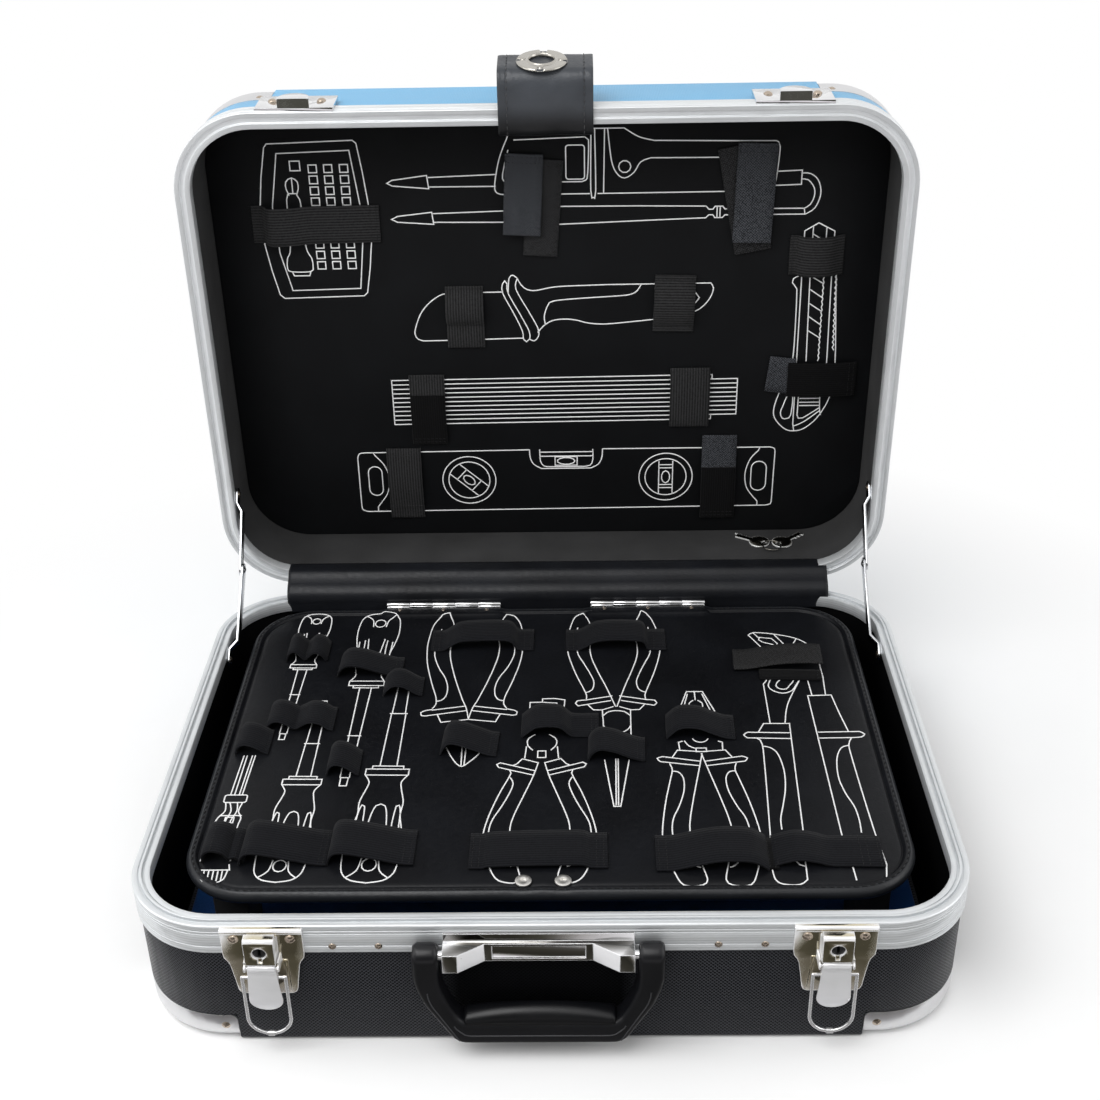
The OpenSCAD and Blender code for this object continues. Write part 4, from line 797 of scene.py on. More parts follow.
def palletPrints():
    strokes = driverPrint(-166.3, 149.5, 0.67, -1.2, True, 4.6, 148, 221, 3.4)
    strokes += driverPrint(-120.8, 149.3, 0.88, -1.2, True, 4.4, 164, 221, 3.2)
    strokes += driverPrint(-151.6, -129.8, 0.9, -1.0, False, 5.0, 141, 192, 3.6)
    strokes += driverPrint(-101.4, -130.6, 1.0, -1.2, False, 5.2, 159, 203, 3.6)
    # the tester
    strokes += readStrokes(
        "- -185.5,16 -182.5,16 -183,11 - -189.8,-15 -191,-53 - -187.8,-15 -188.6,-53 - -184.6,-15 "
        "-185.8,-53 - -182.8,-15 -184,-53 ~ -192.5,-60 -191.5,-68 -194.5,-74 -196,-84 -197,-112 - "
        "-193,-72 -181,-72 ~ -182.5,-60 -183.5,-68 -181,-74 -181.5,-84 -180,-112 ~ -190,-60 -188,-68 "
        "-189.5,-77 -188.6,-84 ~ -185.5,-60 -184.5,-68 -186.5,-77 -185.4,-84 - -196.5,-119.5 "
        "-179,-119.5 -180,-115 ~ -196,-119.5 -194.5,-126 -190,-129.8 -185,-130 -181,-127 -180,-119.5")
    strokes += [boxPrint(-187.3, -56.5, 13.4, 7, 1.5), boxPrint(-187.5, -76, 5, 5)]
    strokes += [([(x, -120.5), (x + 0.4, -128.5)], False) for x in (-193, -190.4, -187.8, -185.2, -182.8)]
    # side cutter, handles to the rear
    strokes += bothSides(readStrokes(
        "~ -33,146.5 -28,145 -24.5,139 -22,130 -20.4,112 -20.5,100 -21.5,88 -23.5,76 -27,60 -30.5,46 "
        "-31,38 -29,33.5 ~ -29,32.5 -24.5,31.2 -22,29 -22.6,26 -26,25.6 - -50.5,36 -29,31.8 - "
        "-51.5,31 -26,25.8 ~ -33,146.5 -36.5,135 -38,118 -36.4,108 -36.6,95 -39,80 -43,62 -48,43 "
        "-51,33.5 -53,22 ~ -28.5,128 -26.4,110 -25.8,100 -26.6,92 -30,80 -35,68 -37.4,57 -36.8,47 "
        "-34,42.4 -31,41.4 - -33,26.5 -35.6,18.6 -46,20.3 -53,21.5"), -53)
    strokes += readStrokes(
        "~ -65,-8 -61.5,-17 -57.5,-24.5 -54,-27 -49.5,-22 -45,-15.5 -42,-9 - -55.3,-5 -54.8,-26 - "
        "-52.7,-5 -53,-26")
    # stripping pliers, handles to the front
    strokes += bothSides(readStrokes(
        "~ -3.6,-24 -0.5,-38 5,-57 9.6,-73 11.6,-84 11,-96 7,-116 5,-126 7,-130.6 13,-131 18,-128 "
        "22,-119 25.4,-104 27,-92 25.6,-80 22.5,-66 18.6,-52 14.5,-40 12.8,-34 13.6,-31 ~ 13,-38.4 "
        "11.2,-44 13,-53 17.5,-66 22,-77 23.8,-86 23.6,-96 21,-107 17,-115 10,-118 - -2,-32 "
        "19.6,-23.8 ~ 19.6,-23.8 21.8,-25.6 20.4,-28.4 - 20.4,-28.4 -0.6,-36 - -3.4,-24 6.2,-20 "
        "9.4,-25 12,-26.8 - 4,-8 4.8,-19.6 ~ 0,-11.4 3,-7 3.6,-2 2.6,1 -1,4.5"), -5.6)
    strokes.append(boxPrint(-5.6, -15.6, 5, 6.6))
    strokes += readStrokes(
        "- -14,28 -14,39.4 -6,39.6 3.4,38.4 3.8,36 - -6,39.6 -6,43.4 2,43.6 8.6,42 8,34")
    # long nose pliers, handles to the rear
    strokes += bothSides(readStrokes(
        "~ 62,147 67,143 70,134 73,116 73.2,102 71,87 67,70 62.6,55 60.6,47 60.8,42.6 ~ 62,147 58,136 "
        "56,120 57.6,106 57,92 53,75 48.4,59 45,46 42,34 ~ 66,128 67,112 66,96 62,84 58,72 55.6,62 "
        "57,53 61,50 - 44,46 61.4,41.6 ~ 61.4,41.6 66.6,40.8 67.8,38 66,35.2 - 66,35.2 45,40.8 - "
        "60,36.6 56.4,30.6 51,30.4 43.6,34 - 50.6,30.4 50,2 ~ 50.4,24 46.5,28.6 41.8,29.6 ~ 50.4,14 "
        "48,9 45,6.6"), 41.6)
    strokes += readStrokes(
        "- 33,-22 37.6,-66 41.6,-66 48,-22 - 41.3,-21 40.4,-65 - 39.9,-21 39,-65")
    # combination pliers, handles to the front
    strokes += bothSides(readStrokes(
        "~ 92.6,-16 96,-34 100.6,-58 104,-78 104.8,-90 103,-104 99.6,-120 98,-130 101,-134 109,-134.6 "
        "113,-131.6 117,-119 120.2,-104 120.8,-92 119.6,-78 117,-60 113.6,-42 111.8,-32 113,-26 ~ "
        "112,-33.4 108.4,-34 105.6,-40 106,-52 109.6,-66 113.6,-77 115,-88 114,-99 109,-110 104,-118 "
        "101,-119.6 - 94.6,-23.6 117,-18.8 ~ 117,-18.8 120.4,-20.6 118.6,-23.8 - 118.6,-23.8 95.4,-28 "
        "- 93,-14 107.6,-12.4 111,-19.4 - 106,-12.4 106.4,-4.4 104,-3.4 - 98,50 104.4,28 - 97.6,47 "
        "101.8,28 ~ 94.4,40 97,37 96.6,30 95,27.6"), 92.8)
    strokes += [boxPrint(92.8, -12.2, 6.4, 3.6), roundPrint(93, 1, 5, 5.4, 200, 340)]
    strokes += readStrokes(
        "- 87.6,50 98,50 - 92.8,50 92.8,40.6 ~ 83,-3 85.4,-8 89,-10.6")
    # pump pliers
    strokes += readStrokes(
        "- 165.8,44.4 166.2,0 167,-93 169,-120 169.4,-131 ~ 181,45 183.4,24 186,5.6 - 165.8,44.4 "
        "180.8,45 - 167,5 193,5.2 ~ 193,5.2 195.6,2.6 193.2,-0.4 187,-1 - 187,-1 167,-1.2 ~ 187,-1 "
        "184.2,-8 184,-22 185,-60 186.2,-94 ~ 184,-9 179,-11.4 174.8,-22 173,-40 174.8,-55 178.2,-68 "
        "179,-80 178.5,-91 - 186.2,-94 188,-118 186,-130 - 138.6,58 138.2,14.6 ~ 164,65 152,36 "
        "147.6,15 - 130,6 134,14.6 150.4,14.4 149.6,0 145.6,-86 143.4,-113 142.6,-130 - 123,5.6 "
        "150,4.6 ~ 123,5.6 120.4,2.8 122.4,-0.2 - 122.4,-0.2 149.4,-1.4 ~ 128,-0.6 130.8,-6 130,-30 "
        "126.2,-94 ~ 131,-9 135.4,-10.4 139.4,-17 141.2,-33 140,-50 137,-65 134,-78 133.4,-88 - "
        "126.2,-94 124,-119 ~ 124,-119 125,-129.6 129,-133.6 138,-134 142.6,-130 ~ 136.6,-112 "
        "140,-118 142.4,-119 ~ 134.6,117 138,120 145,119.6 152,118 160,115.4 167,112 173,106 177.6,98 "
        "- 134.6,117 142.6,100 -- 142,114 150,112.4 153.4,106 152,104 143.4,108 141,111 - 152,118 "
        "159,102 156.6,100 - 167,112 161,100 - 138,120 141.6,113 ~ 144.6,65 141.6,56 144,50.4 "
        "150,47.4 156,50 160,57 164,65 ~ 151.4,64 148,60 146.6,55.4 149,52.2 153,52.2 155.4,56 158,60 "
        "159.6,65 ~ 138.6,58 141,62 142,68 - 168,64 168.6,44.6 - 178.6,66 177.4,44.8 - 141,67 168,66 "
        "- 178,98 178.6,66")
    printPiece("palletToolOutlines", "pallet", strokes, lambda x, y: palletTopHeight(x, y, 60.0) + 0.02, 1)


def lidPrints():
    # bit box, detector and probes, cable knife, spirit level, snap-off knife
    strokes = readStrokes(
        "-- -184,-132 -182,-134.4 -126,-136 -123.6,-134 -121,-115 -118.6,-92 -118.6,-67 -121,-48 "
        "-124,-31 -126.4,-28.6 -181,-27.4 -184,-30 -187.6,-47 -190.6,-66 -190.8,-92 -188,-112 -- "
        "-176.4,-128 -128.6,-129.4 -124.2,-92 -124.6,-66 -128.4,-34 -175,-33 -181,-60 -182.6,-92 ~~ "
        "-172,-109 -168,-111.6 -164.4,-109 -164.2,-104 -165.6,-100 -164,-97 -163.4,-88 -163,-64 "
        "-160,-56 -159.6,-50 -161.4,-46.6 -174.4,-46.6 -177,-49 -176.4,-56 -173.6,-64 -172.6,-97 "
        "-170.8,-100 -172.2,-104 - -168,-111 -168,-101 - -171,-101 -165,-101 - -174,-46.6 -173,-43.6 "
        "-162.4,-43.6 -161.4,-46.6 -- -105.4,-107 -102,-109 -79,-112 -78,-103 -102,-105.2 - "
        "-78,-110.6 -33,-112 - -78,-104.2 -34,-104 -- -104,-82.4 -100,-84.4 -77,-87 -76,-78.6 "
        "-100,-80.4 - -76,-86 -29,-87.2 4,-89.8 60,-89.4 105,-88.6 - -76,-80 -29,-79.4 6,-77.4 "
        "60,-79.2 105,-80.6 ~ -25,-137 -31,-122 -34.4,-105 -33,-99.4 -27,-98.2 - -27,-98.2 28,-98.2 - "
        "33.4,-98.2 117,-98.4 149,-98.2 - 31,-141.4 50.4,-141.4 ~ 50.4,-141.4 60,-135.6 70,-133 - "
        "70,-133 123,-132 149,-131.6 ~ 149,-131.6 151.6,-128 150.6,-110 149,-98.2 - -21,-134.6 "
        "25,-136 ~ 25,-136 27.4,-134 26.8,-112 25.6,-107.4 23,-106.4 - 23,-106.4 -27.4,-106.4 ~ "
        "-25,-128 -29,-112 -28.6,-108 -27.4,-106.4 ~ 29,-138 28.8,-100 30.4,-95.6 32,-100 31.4,-141 - "
        "37.8,-141 37.2,-98.4 ~ 39.8,-141 42.4,-120 46,-111.4 51,-108.4 57,-112 61.4,-119 68,-121.6 - "
        "68,-121.6 150,-121 - 150.6,-111.4 167,-112 167,-102.4 150,-102 ~ 167,-110 172.6,-109.6 "
        "178,-105 180.2,-96 177,-86.4 171,-82.2 - 171,-82.2 120,-82.4 ~ 167,-106 171.4,-105.4 "
        "175.6,-100 176,-94 173.6,-88.6 170,-86.2 - 170,-86.2 120,-86.6 - 170,-86 170.6,-82.4 - "
        "105,-88.6 107,-86.4 109.6,-86.4 111,-88.4 116,-88.4 117.6,-86.4 120,-86.6 - 105,-80.6 "
        "107,-82.6 109.6,-82.6 111,-80.6 116,-80.6 117.6,-82.4 120,-82.4 - 112.4,-88.4 112.4,-80.6 - "
        "114.4,-88.4 114.4,-80.6 ~ -32,-30 -60,-29.8 -70,-29.4 -75,-28 -82,-23 -88,-16 -92,-7 -93.6,0 "
        "-91.6,4 -87.6,5.4 - -87.6,5.4 -70,5.2 -19,4.2 ~~ -31.6,-36 -30,-38 -28.6,-36 -28,-29 -20,-13 "
        "-14.4,-1 -14.2,5 -16.4,7 -18.4,5 -19,-1 -24,-13 -31.6,-29 ~ -28,-29 -27,-40 -24.2,-42 "
        "-21.6,-40 -22.6,-32 -14,-15 -8.2,-3 -8,3 -11,6.4 -14.2,5 ~ -21.6,-40 -19,-35 -15,-31.6 "
        "-9,-30.8 0,-32.6 10,-33.6 40,-34.4 - 40,-34.4 110,-34.6 ~ 110,-34.6 112,-31 110,-24 "
        "104.4,-17 98,-13.6 84,-10 72,-8.6 60,-7.4 45,-6 35,-5.6 26,-6.6 18,-8.8 10,-9.6 2,-8.6 -4,-5 "
        "-8.2,0 ~ -3,-6 -3.6,-12 -1,-20 3,-23 20,-24.6 45,-26 55,-27 60,-29.6 62.6,-34 -- 92,-27.6 "
        "100,-27.6 102.6,-24 100,-20.4 92,-20.4 89.6,-24 - -130,92.6 -16.4,91.6 - 36.4,91.4 157,91.4 "
        "~ 157,91.4 160.4,92.6 161,96 - 161,96 160.6,135 ~ 160.6,135 160,138.6 156,139.6 - 156,139.6 "
        "-137,141.6 ~ -137,141.6 -141,140 -141.6,136 - -141.6,136 -141.4,97 ~ -141.4,97 -140,93.4 "
        "-136,92.6 -130,92.6 ~ 150,91.4 149,94 144,100 141,108 140.2,116 142,125 147.4,133 150,136 "
        "150,139.4 ~ -130,92.6 -128.6,95 -123,102 -120,110 -119.6,118 -122,127 -127.4,135 -129.4,138 "
        "-129.4,141.4 ~ -16.4,91.6 -16,98 -13.6,103.4 -8,107 - -8,107 28,107 ~ 28,107 33.6,103.6 "
        "36,98 36.4,91.4 ~ -9,91.4 -8.6,101 -6,105 -2,105.6 - -2,105.6 23,105.6 ~ 23,105.6 27.6,104.6 "
        "29.4,100 29.4,91.4 - -9,93.6 29.4,93.6 - -9,97 29.4,97 - 77.4,102 77.4,129 - 87.4,102 "
        "87.4,129 - 77.4,105 87.4,105 - 77.4,107.6 87.4,107.6 - 77.4,121.4 87.4,121.4 - 77.4,124 "
        "87.4,124 - 171.4,-40 171.4,-70.6 180.4,-76 191.4,-70.2 191.6,-38 193,24 193,50 - 177,-73.6 "
        "177,-41 178.6,24 - 186,-72.6 186,-42 - 177,-68.4 186,-62.6 - 177,-58.4 186,-52.6 - 177,-48 "
        "186,-42.4 - 171.4,-40 172,24 172.4,73 173.4,78.4 ~ 172,-40 166,-37 165.4,-34 168,-30.6 "
        "169,-24 169.4,18 167,30 162,46 158.6,58 158.4,66 162,72.4 168,77.6 173.4,78.6 180,77 188,70 "
        "194,60 197.4,50 199,36 198.6,18 - 198.6,18 194.6,-40 - 178,-38.4 186,-33.4 - 178,-28.8 "
        "186.2,-23 - 178.2,-18.6 186.4,-13 - 178.4,-9 186.6,-3 - 178.6,1.4 187,7 ~~ 167.6,50 164.4,59 "
        "163,64 164.6,68.4 168,68.6 170.4,66 171,52 - 175,50 175,66 ~ 175,66 176,68.6 179,68.4 "
        "190.4,60.4 - 176,53 190.4,53 - 176,56 190.4,56 - 176,58.6 190.4,58.6 ~ 190,50 190.6,61 "
        "191.6,66 ~ 173.4,74.6 180,71.4 190.4,63")
    bits = [(x, -117.5 + 7.4 * row) for x in (-153.6, -143.4, -133) for row in range(10)]
    strokes += [boxPrint(x, y, 5.4, 5.2) for x, y in bits]
    strokes += [boxPrint(-165, -119.6, 6.6, 6.4), boxPrint(18.6, -119.4, 12.2, 22.6, 1.8),
                roundPrint(51, -116, 4, 4), boxPrint(150, 115, 11, 24, 5.4), boxPrint(-129.6, 116, 10, 24, 5),
                boxPrint(10, 101, 16, 7), roundPrint(10, 101, 6.4, 2.8)]
    bubble = readStrokes("- -13.6,5.4 13.6,5.4 - -13.6,-5.4 13.6,-5.4 - -7,-5.4 -7,5.4 - 7,-5.4 7,5.4")
    for cx, cy, turn in ((-61, 116, 42), (82.4, 115, 90)):
        strokes += [roundPrint(cx, cy, 19.4, 19.4), roundPrint(cx, cy, 15, 15)]
        strokes += moved([roundPrint(0, 0, 5, 3)] + (bubble if turn != 90 else []), cx, cy, 1.0, turn)
    # the folding rule's eleven leaves
    for k in range(11):
        end = 113.4 if k in (0, 10) else 131.4
        start = 35.4 + 3.46 * k
        strokes.append(([(-112.4, start), (end, start - 0.0081 * (end + 112.4))], False))
    strokes += readStrokes(
        "- -112.4,35.4 -112.4,70 - 113.4,33.6 113.4,36.9 - 131.4,36.9 131.4,64.6 - 113.4,64.7 "
        "113.4,68.1")
    # the saw-edged line and the toothed grip of the knife
    for x, slope, tooth, low, high in ((186.4, 0.008, 0.7, -40, 25), (195.53, 0.035, 1.1, -38, 18)):
        teeth = enumerate(range(low, high, 2))
        strokes.append(([(x + slope * y + tooth * (k % 2), y) for k, y in teeth], False))
    panel = caseSizes["lidPanelFace"] - 0.02
    printPiece("lidToolOutlines", "lid", strokes, lambda x, y: panel, -1, lidSwing)


# elastic webbing and hook tape
webbingShape = {"thick": 1.15, "step": 1.3, "edgeJitter": 0.25, "stitchLong": 2.1, "stitchThick": 0.55,
                "stitchEvery": 2.9, "hairs": 12}


def tape(start, end, wide, rise, **changes):
    # one layer from start to end; "rise" pairs a share of its length with its height over what it lies on
    return {"from": start, "to": end, "wide": wide, "rise": readPoints(rise), "sewn": (1.8, 4.6, -4.6, -1.8),
            "hairs": (0, 1), "lift": 0.0, **changes}


riseLeft = "0,0.3 0.03,5 0.1,8.1 0.25,7.8 0.6,4 0.85,1 1,0.4"
palletLoops = {
    "Tester": [tape((-195, -101), (-172, -101), 27,
        "0,0.3 0.03,5.6 0.2,8.1 0.45,6.8 0.62,2.5 0.75,3.5 1,0.4")],
    "DriverFrontLeft": [tape((-174, -102), (-125, -102.5), 30, riseLeft)],
    "DriverFrontRight": [tape((-124, -102), (-76, -102.5), 30, riseLeft, sewn=(1.8, -6.2, -2.2))],
    "StrippingPliers": [tape((-45, -106), (33, -106), 30,
        "0,0.4 0.1,0.5 0.14,1.5 0.3,2.2 0.55,2.6 0.8,2.6 0.86,1 0.9,0.5 1,0.4",
        sewn=(1.8, 5.6, -6.2, -2.2))],
    "CombinationPliers": [tape((60, -108.6), (122, -109.4), 30,
        "0,0.4 0.15,0.6 0.3,3 0.5,6.2 0.65,7.2 0.85,6.6 0.95,3.5 1,0.9", sewn=(1.8, 6.2)),
        tape((119, -109.6), (128, -109.6), 26, "0,1.2 0.3,0.6 1,0.4", sewn=(-5, -1.8), hairs=(1,),
            finish="darkTape")],
    "PumpPliers": [tape((126, -107.6), (187, -108.4), 26,
        "0,0.5 0.08,2.5 0.22,4.6 0.38,3.2 0.52,0.8 0.75,0.7 1,0.4", sewn=(1.8, -12, -8, -1.8))],
    "SideCutterHandles": [tape((-83, 112), (-13, 112), 26,
        "0,0.4 0.12,0.5 0.2,4 0.3,7.6 0.5,8.4 0.68,8.4 0.78,7 0.83,2 0.87,0.6 1,0.4",
        sewn=(1.8, 5.4, -6.4, -2))],
    "LongNoseHandles": [tape((9, 111), (77, 111), 26,
        "0,0.4 0.12,0.5 0.2,3 0.3,7 0.45,8.4 0.62,8.2 0.76,7 0.8,3 0.83,0.6 1,0.4",
        sewn=(1.8, 5.4, -8, -2))],
    "SideCutterHead": [tape((-67, -4), (-33, -6), 25,
        "0,0.4 0.04,4 0.14,8.2 0.32,7.8 0.58,4.6 0.82,1.3 1,0.4", sewn=(-4.6, -1.8))],
    "StrippingHead": [tape((-18, 13), (30, 13), 25,
        "0,0.4 0.06,3 0.18,7.4 0.36,8.4 0.5,7 0.6,2.5 0.68,0.7 1,0.4")],
    "LongNoseHead": [tape((24, -11.6), (58, -12.6), 24,
        "0,0.4 0.06,5 0.2,8.2 0.45,6.8 0.7,3 0.9,0.8 1,0.4", sewn=(-4.6, -1.8))],
    "CombinationHead": [tape((73, 10.6), (115, 9.6), 25,
        "0,0.4 0.07,4 0.2,8 0.44,8 0.64,4.6 0.84,1.2 1,0.4", sewn=(-4.6, -1.8))],
    "DriverRearLeft": [tape((-179.5, 100), (-152.5, 100), 24,
        "0,0.4 0.06,5 0.2,7.5 0.36,3.5 0.45,1.4 0.56,3.5 0.7,6.5 0.86,5 0.95,1.2 1,0.4", sewn=(-1.8,))],
    "DriverRearRight": [tape((-142, 80.5), (-100, 79.5), 23,
        "0,0.4 0.05,5 0.16,8.3 0.35,7.8 0.62,4 0.85,0.9 1,0.4", sewn=(-4.6, -1.8))],
    "TwoShafts": [tape((-180, 22), (-138, 22), 25,
        "0,0.4 0.05,5 0.16,7 0.3,5 0.42,1.6 0.52,3.5 0.65,6 0.8,5 0.92,1.2 1,0.4", sewn=(-1.8,))],
    "ShaftFront": [tape((-135.5, -24), (-116.5, -24), 25, "0,0.4 0.08,5 0.25,8 0.5,7 0.75,4 0.92,1 1,0.4",
        sewn=(-1.8,))],
    "ShaftRear": [tape((-109.5, 57), (-84.5, 57), 21, "0,0.4 0.08,4 0.25,7.5 0.5,7 0.75,3 0.9,0.8 1,0.4",
        sewn=(-1.8,))],
    "TesterTip": [tape((-195, -2), (-175, -2), 25, "0,0.4 0.08,5 0.25,7 0.5,6 0.75,3 0.9,0.8 1,0.4",
        sewn=(-1.8,))]}
palletHook = {
    "": [tape((137, 68), (177, 66.4), 12, "0,0.4 0.3,0.5 1,0.4", sewn=(-2,), hairs=(1,),
        finish="darkTape"),
        tape((121, 84), (179, 82), 23.5, "0,0.1 0.12,0.3 0.3,2.2 0.5,4.6 0.75,5.8 0.95,5.6 1,5.2",
            sewn=(1.8, 5), lift=1.3, finish="hookTape")]}
lidLoops = {
    "BitBox": [tape((-197, -80.6), (-112, -80), 26,
        "0,0.3 0.08,0.4 0.11,3 0.15,7.6 0.24,7.8 0.34,6.2 0.46,3.2 0.7,2 0.9,0.8 1,0.4",
        sewn=(1.8, 5, -6, -2))],
    "CableKnife": [tape((-58, -35), (-58, 10), 26,
        "0,0.4 0.1,0.8 0.18,3.4 0.36,5.8 0.52,4.6 0.6,1.2 0.63,0.5 0.7,1.1 0.85,1 1,0.4")],
    "KnifeHandle": [tape((85, 0), (86, -41), 28, "0,0.4 0.1,0.6 0.25,3 0.5,4.6 0.75,3 0.9,0.8 1,0.6",
        sewn=(1.8, 4.6, -3), ribsAcross=True)],
    "RuleRight": [tape((98, 28), (98, 73), 28, "0,0.4 0.12,1.6 0.3,2.2 0.6,2.1 0.88,1.6 1,0.4")],
    "LevelLeft": [tape((-107.5, 89), (-107.5, 138), 25, "0,0.4 0.1,1.8 0.35,3.2 0.65,3.2 0.9,1.6 1,0.8",
        sewn=(1.8, 4.6)),
        tape((-107.5, 135), (-107.5, 146), 25, "0,1.8 0.3,1 1,0.4", sewn=(-5, -1.8), hairs=(1,))],
    "SnapKnife": [tape((162, -54), (198, -54), 28, "0,0.4 0.14,0.6 0.24,4 0.45,6 0.7,5.4 0.88,2 1,0.4")],
    "RuleLeft": [tape((-87.5, 46), (-87.5, 31), 25, "0,2 0.4,1.4 1,0.4", sewn=(-4.6, -1.8), hairs=(1,)),
        tape((-87.5, 45), (-87.5, 85), 25, "0,1.9 0.3,2.4 0.7,2.2 1,0.4", sewn=(-4.6, -1.8), hairs=(1,),
            finish="darkTape")]}
lidHooks = {
    "DetectorLeft": [tape((-0.5, -122), (-5.5, -56), 23, "0,0.4 0.5,0.8 1,0.4", hairs=(1,),
        finish="lidLoopTape"),
        tape((-14.5, -126), (-17.5, -72), 25, "0,0.2 0.3,1.2 0.6,2.6 0.9,3.2 1,3.2", sewn=(2, 6), lift=1.4,
            finish="lidHookTape")],
    "DetectorRight": [tape((123.5, -129), (137.5, -57), 25, "0,0.4 0.5,0.8 1,0.4", hairs=(1,),
        finish="lidLoopTape"),
        tape((137.5, -131), (135.5, -65), 26, "0,0.2 0.3,1.2 0.6,2.8 0.9,3.6 1,3.6", sewn=(2, 6), lift=1.4,
            finish="lidHookTape")],
    "LevelRight": [tape((120.5, 81), (120.5, 110), 25, "0,0.4 0.3,1 1,1.6", sewn=(2, 5), hairs=(0,),
        finish="lidHookTape"),
        tape((120.5, 148), (120.5, 106), 25, "0,0.2 0.3,1.4 1,1.8", sewn=(2, 5), lift=1,
            finish="darkTape")],
    "SnapKnife": [tape((152, 33), (170, 35), 27, "0,0.4 0.4,0.9 1,1.2", sewn=(2, 5), hairs=(0,),
        finish="lidHookTape"),
        tape((166, 37), (213.5, 37), 26, "0,1.2 0.4,2.8 0.8,1.8 1,0.6", sewn=(-5, -2), lift=1,
            finish="darkTape")]}


def addTape(points, faces, mapping, layer, up, surface, rng):
    start, end = Vector((*layer["from"], 0)), Vector((*layer["to"], 0))
    length = (end - start).length
    along = (end - start).normalized()
    above = Vector((0, 0, up))
    across = above.cross(along)
    line = smoothPath([(share * length, height) for share, height in layer["rise"]], webbingShape["step"])
    thick, half = webbingShape["thick"], layer["wide"] / 2
    first = len(points)
    travelled = jitterLeft = jitterRight = 0.0
    for i, (u, h) in enumerate(line):
        slope = wayAlong(line, i)[0]
        normal = along * -slope[1] + above * slope[0]
        if i:
            travelled += math.dist(line[i - 1], (u, h))
        middle = start + along * u
        middle[2] = surface + up * (max(h, 0.2) + layer["lift"])
        jitterLeft = jitterLeft * 0.6 + rng.uniform(-1, 1) * webbingShape["edgeJitter"] * 0.4
        jitterRight = jitterRight * 0.6 + rng.uniform(-1, 1) * webbingShape["edgeJitter"] * 0.4
        left, right = half + jitterLeft, half + jitterRight
        inLeft, inRight = left - 0.35, 0.35 - right  # where the rounding of the edges ends
        for side, rise in ((left, 0.5), (inLeft, 1.0), (left * 0.5, 1.05), (0, 1.05), (-right * 0.5, 1.05),
                           (inRight, 1.0), (-right, 0.5), (inRight, 0.0), (0, 0.0), (inLeft, 0.0)):
            points.append(middle + across * side + normal * thick * rise)
            mapping.append((travelled, side))
    faces += tubeFaces(len(line), 10, first)
    return layer, line, along, across, above, start


def tapeHeight(line, distance):
    for (u0, h0), (u1, h1) in zip(line, line[1:]):
        if u0 <= distance <= u1:
            return h0 + (h1 - h0) * (distance - u0) / max(1e-6, u1 - u0)
    return line[-1][1] if distance > line[-1][0] else line[0][1]


def addSewing(points, faces, laid, surface, up, rng):
    layer, line, along, across, above, start = laid
    shape = webbingShape
    count = int((layer["wide"] - 2.4) / shape["stitchEvery"])
    for column in layer["sewn"]:
        distance = column if column >= 0 else line[-1][0] + column
        height = tapeHeight(line, distance) + shape["thick"] * 1.05 + layer["lift"]
        for k in range(count + 1):
            offset = (k - count / 2) * shape["stitchEvery"] + rng.uniform(-0.15, 0.15)
            middle = start + along * (distance + rng.uniform(-0.15, 0.15)) + across * offset
            middle[2] = surface + up * (height - 0.05)
            addStitch(points, faces, middle, across + along * 0.12, above, shape["stitchLong"],
                      shape["stitchThick"])


def addHairs(points, faces, laid, atEnd, surface, up, rng):
    # loose threads at a cut end
    layer, line, along, across, above, start = laid
    distance = line[-1][0] if atEnd else 0.0
    direction = along if atEnd else -along
    height = tapeHeight(line, distance) + layer["lift"] + 0.5
    reachAcross = layer["wide"] / 2 - 0.5
    for k in range(webbingShape["hairs"]):
        root = start + along * distance + across * rng.uniform(-reachAcross, reachAcross) - direction * 0.3
        root[2] = surface + up * (height + rng.uniform(-0.2, 0.4))
        reach, lean = rng.uniform(0.7, 2.2), rng.uniform(-0.6, 0.6)
        first = len(points)
        for share, size in ((0.0, 0.11), (0.5, 0.09), (1.0, 0.04)):
            spot = root + direction * reach * share + across * lean * reach * share * share
            spot[2] = surface + up * max(0.12, up * (spot[2] - surface) - 0.2 * share)
            for turn in range(3):
                angle = 2 * pi * turn / 3
                points.append(spot + (above.cross(direction) * cos(angle) + above * sin(angle)) * size)
        faces += tubeFaces(3, 3, first)


def makeTapes(prefix, body, node, tapes, surface, up, seed, place=None, weave="webbing"):
    for index, (name, layers) in enumerate(tapes.items()):
        rng = random.Random(seed * 100 + index)
        points, faces, mapping, numbers, used, laid = [], [], [], [], [], []

        def dressNew(finish):
            if finish not in used:
                used.append(finish)
            numbers.extend([used.index(finish)] * (len(faces) - len(numbers)))

        for layer in layers:
            laid.append(addTape(points, faces, mapping, layer, up, surface, rng))
            dressNew(layer.get("finish", weave))
            if layer.get("ribsAcross"):
                mapping[:] = [(b, a) for a, b in mapping]
        webPoints = len(points)
        for each in laid:
            addSewing(points, faces, each, surface, up, rng)
        for each in laid:
            for atEnd in each[0]["hairs"]:
                addHairs(points, faces, each, atEnd, surface, up, rng)
        dressNew("thread")
        mapping += [(0.0, 0.0)] * (len(points) - webPoints)
        makePiece(prefix + name, body, points, faces, " ".join(used), (node,), place, mapping,
                  numbers)


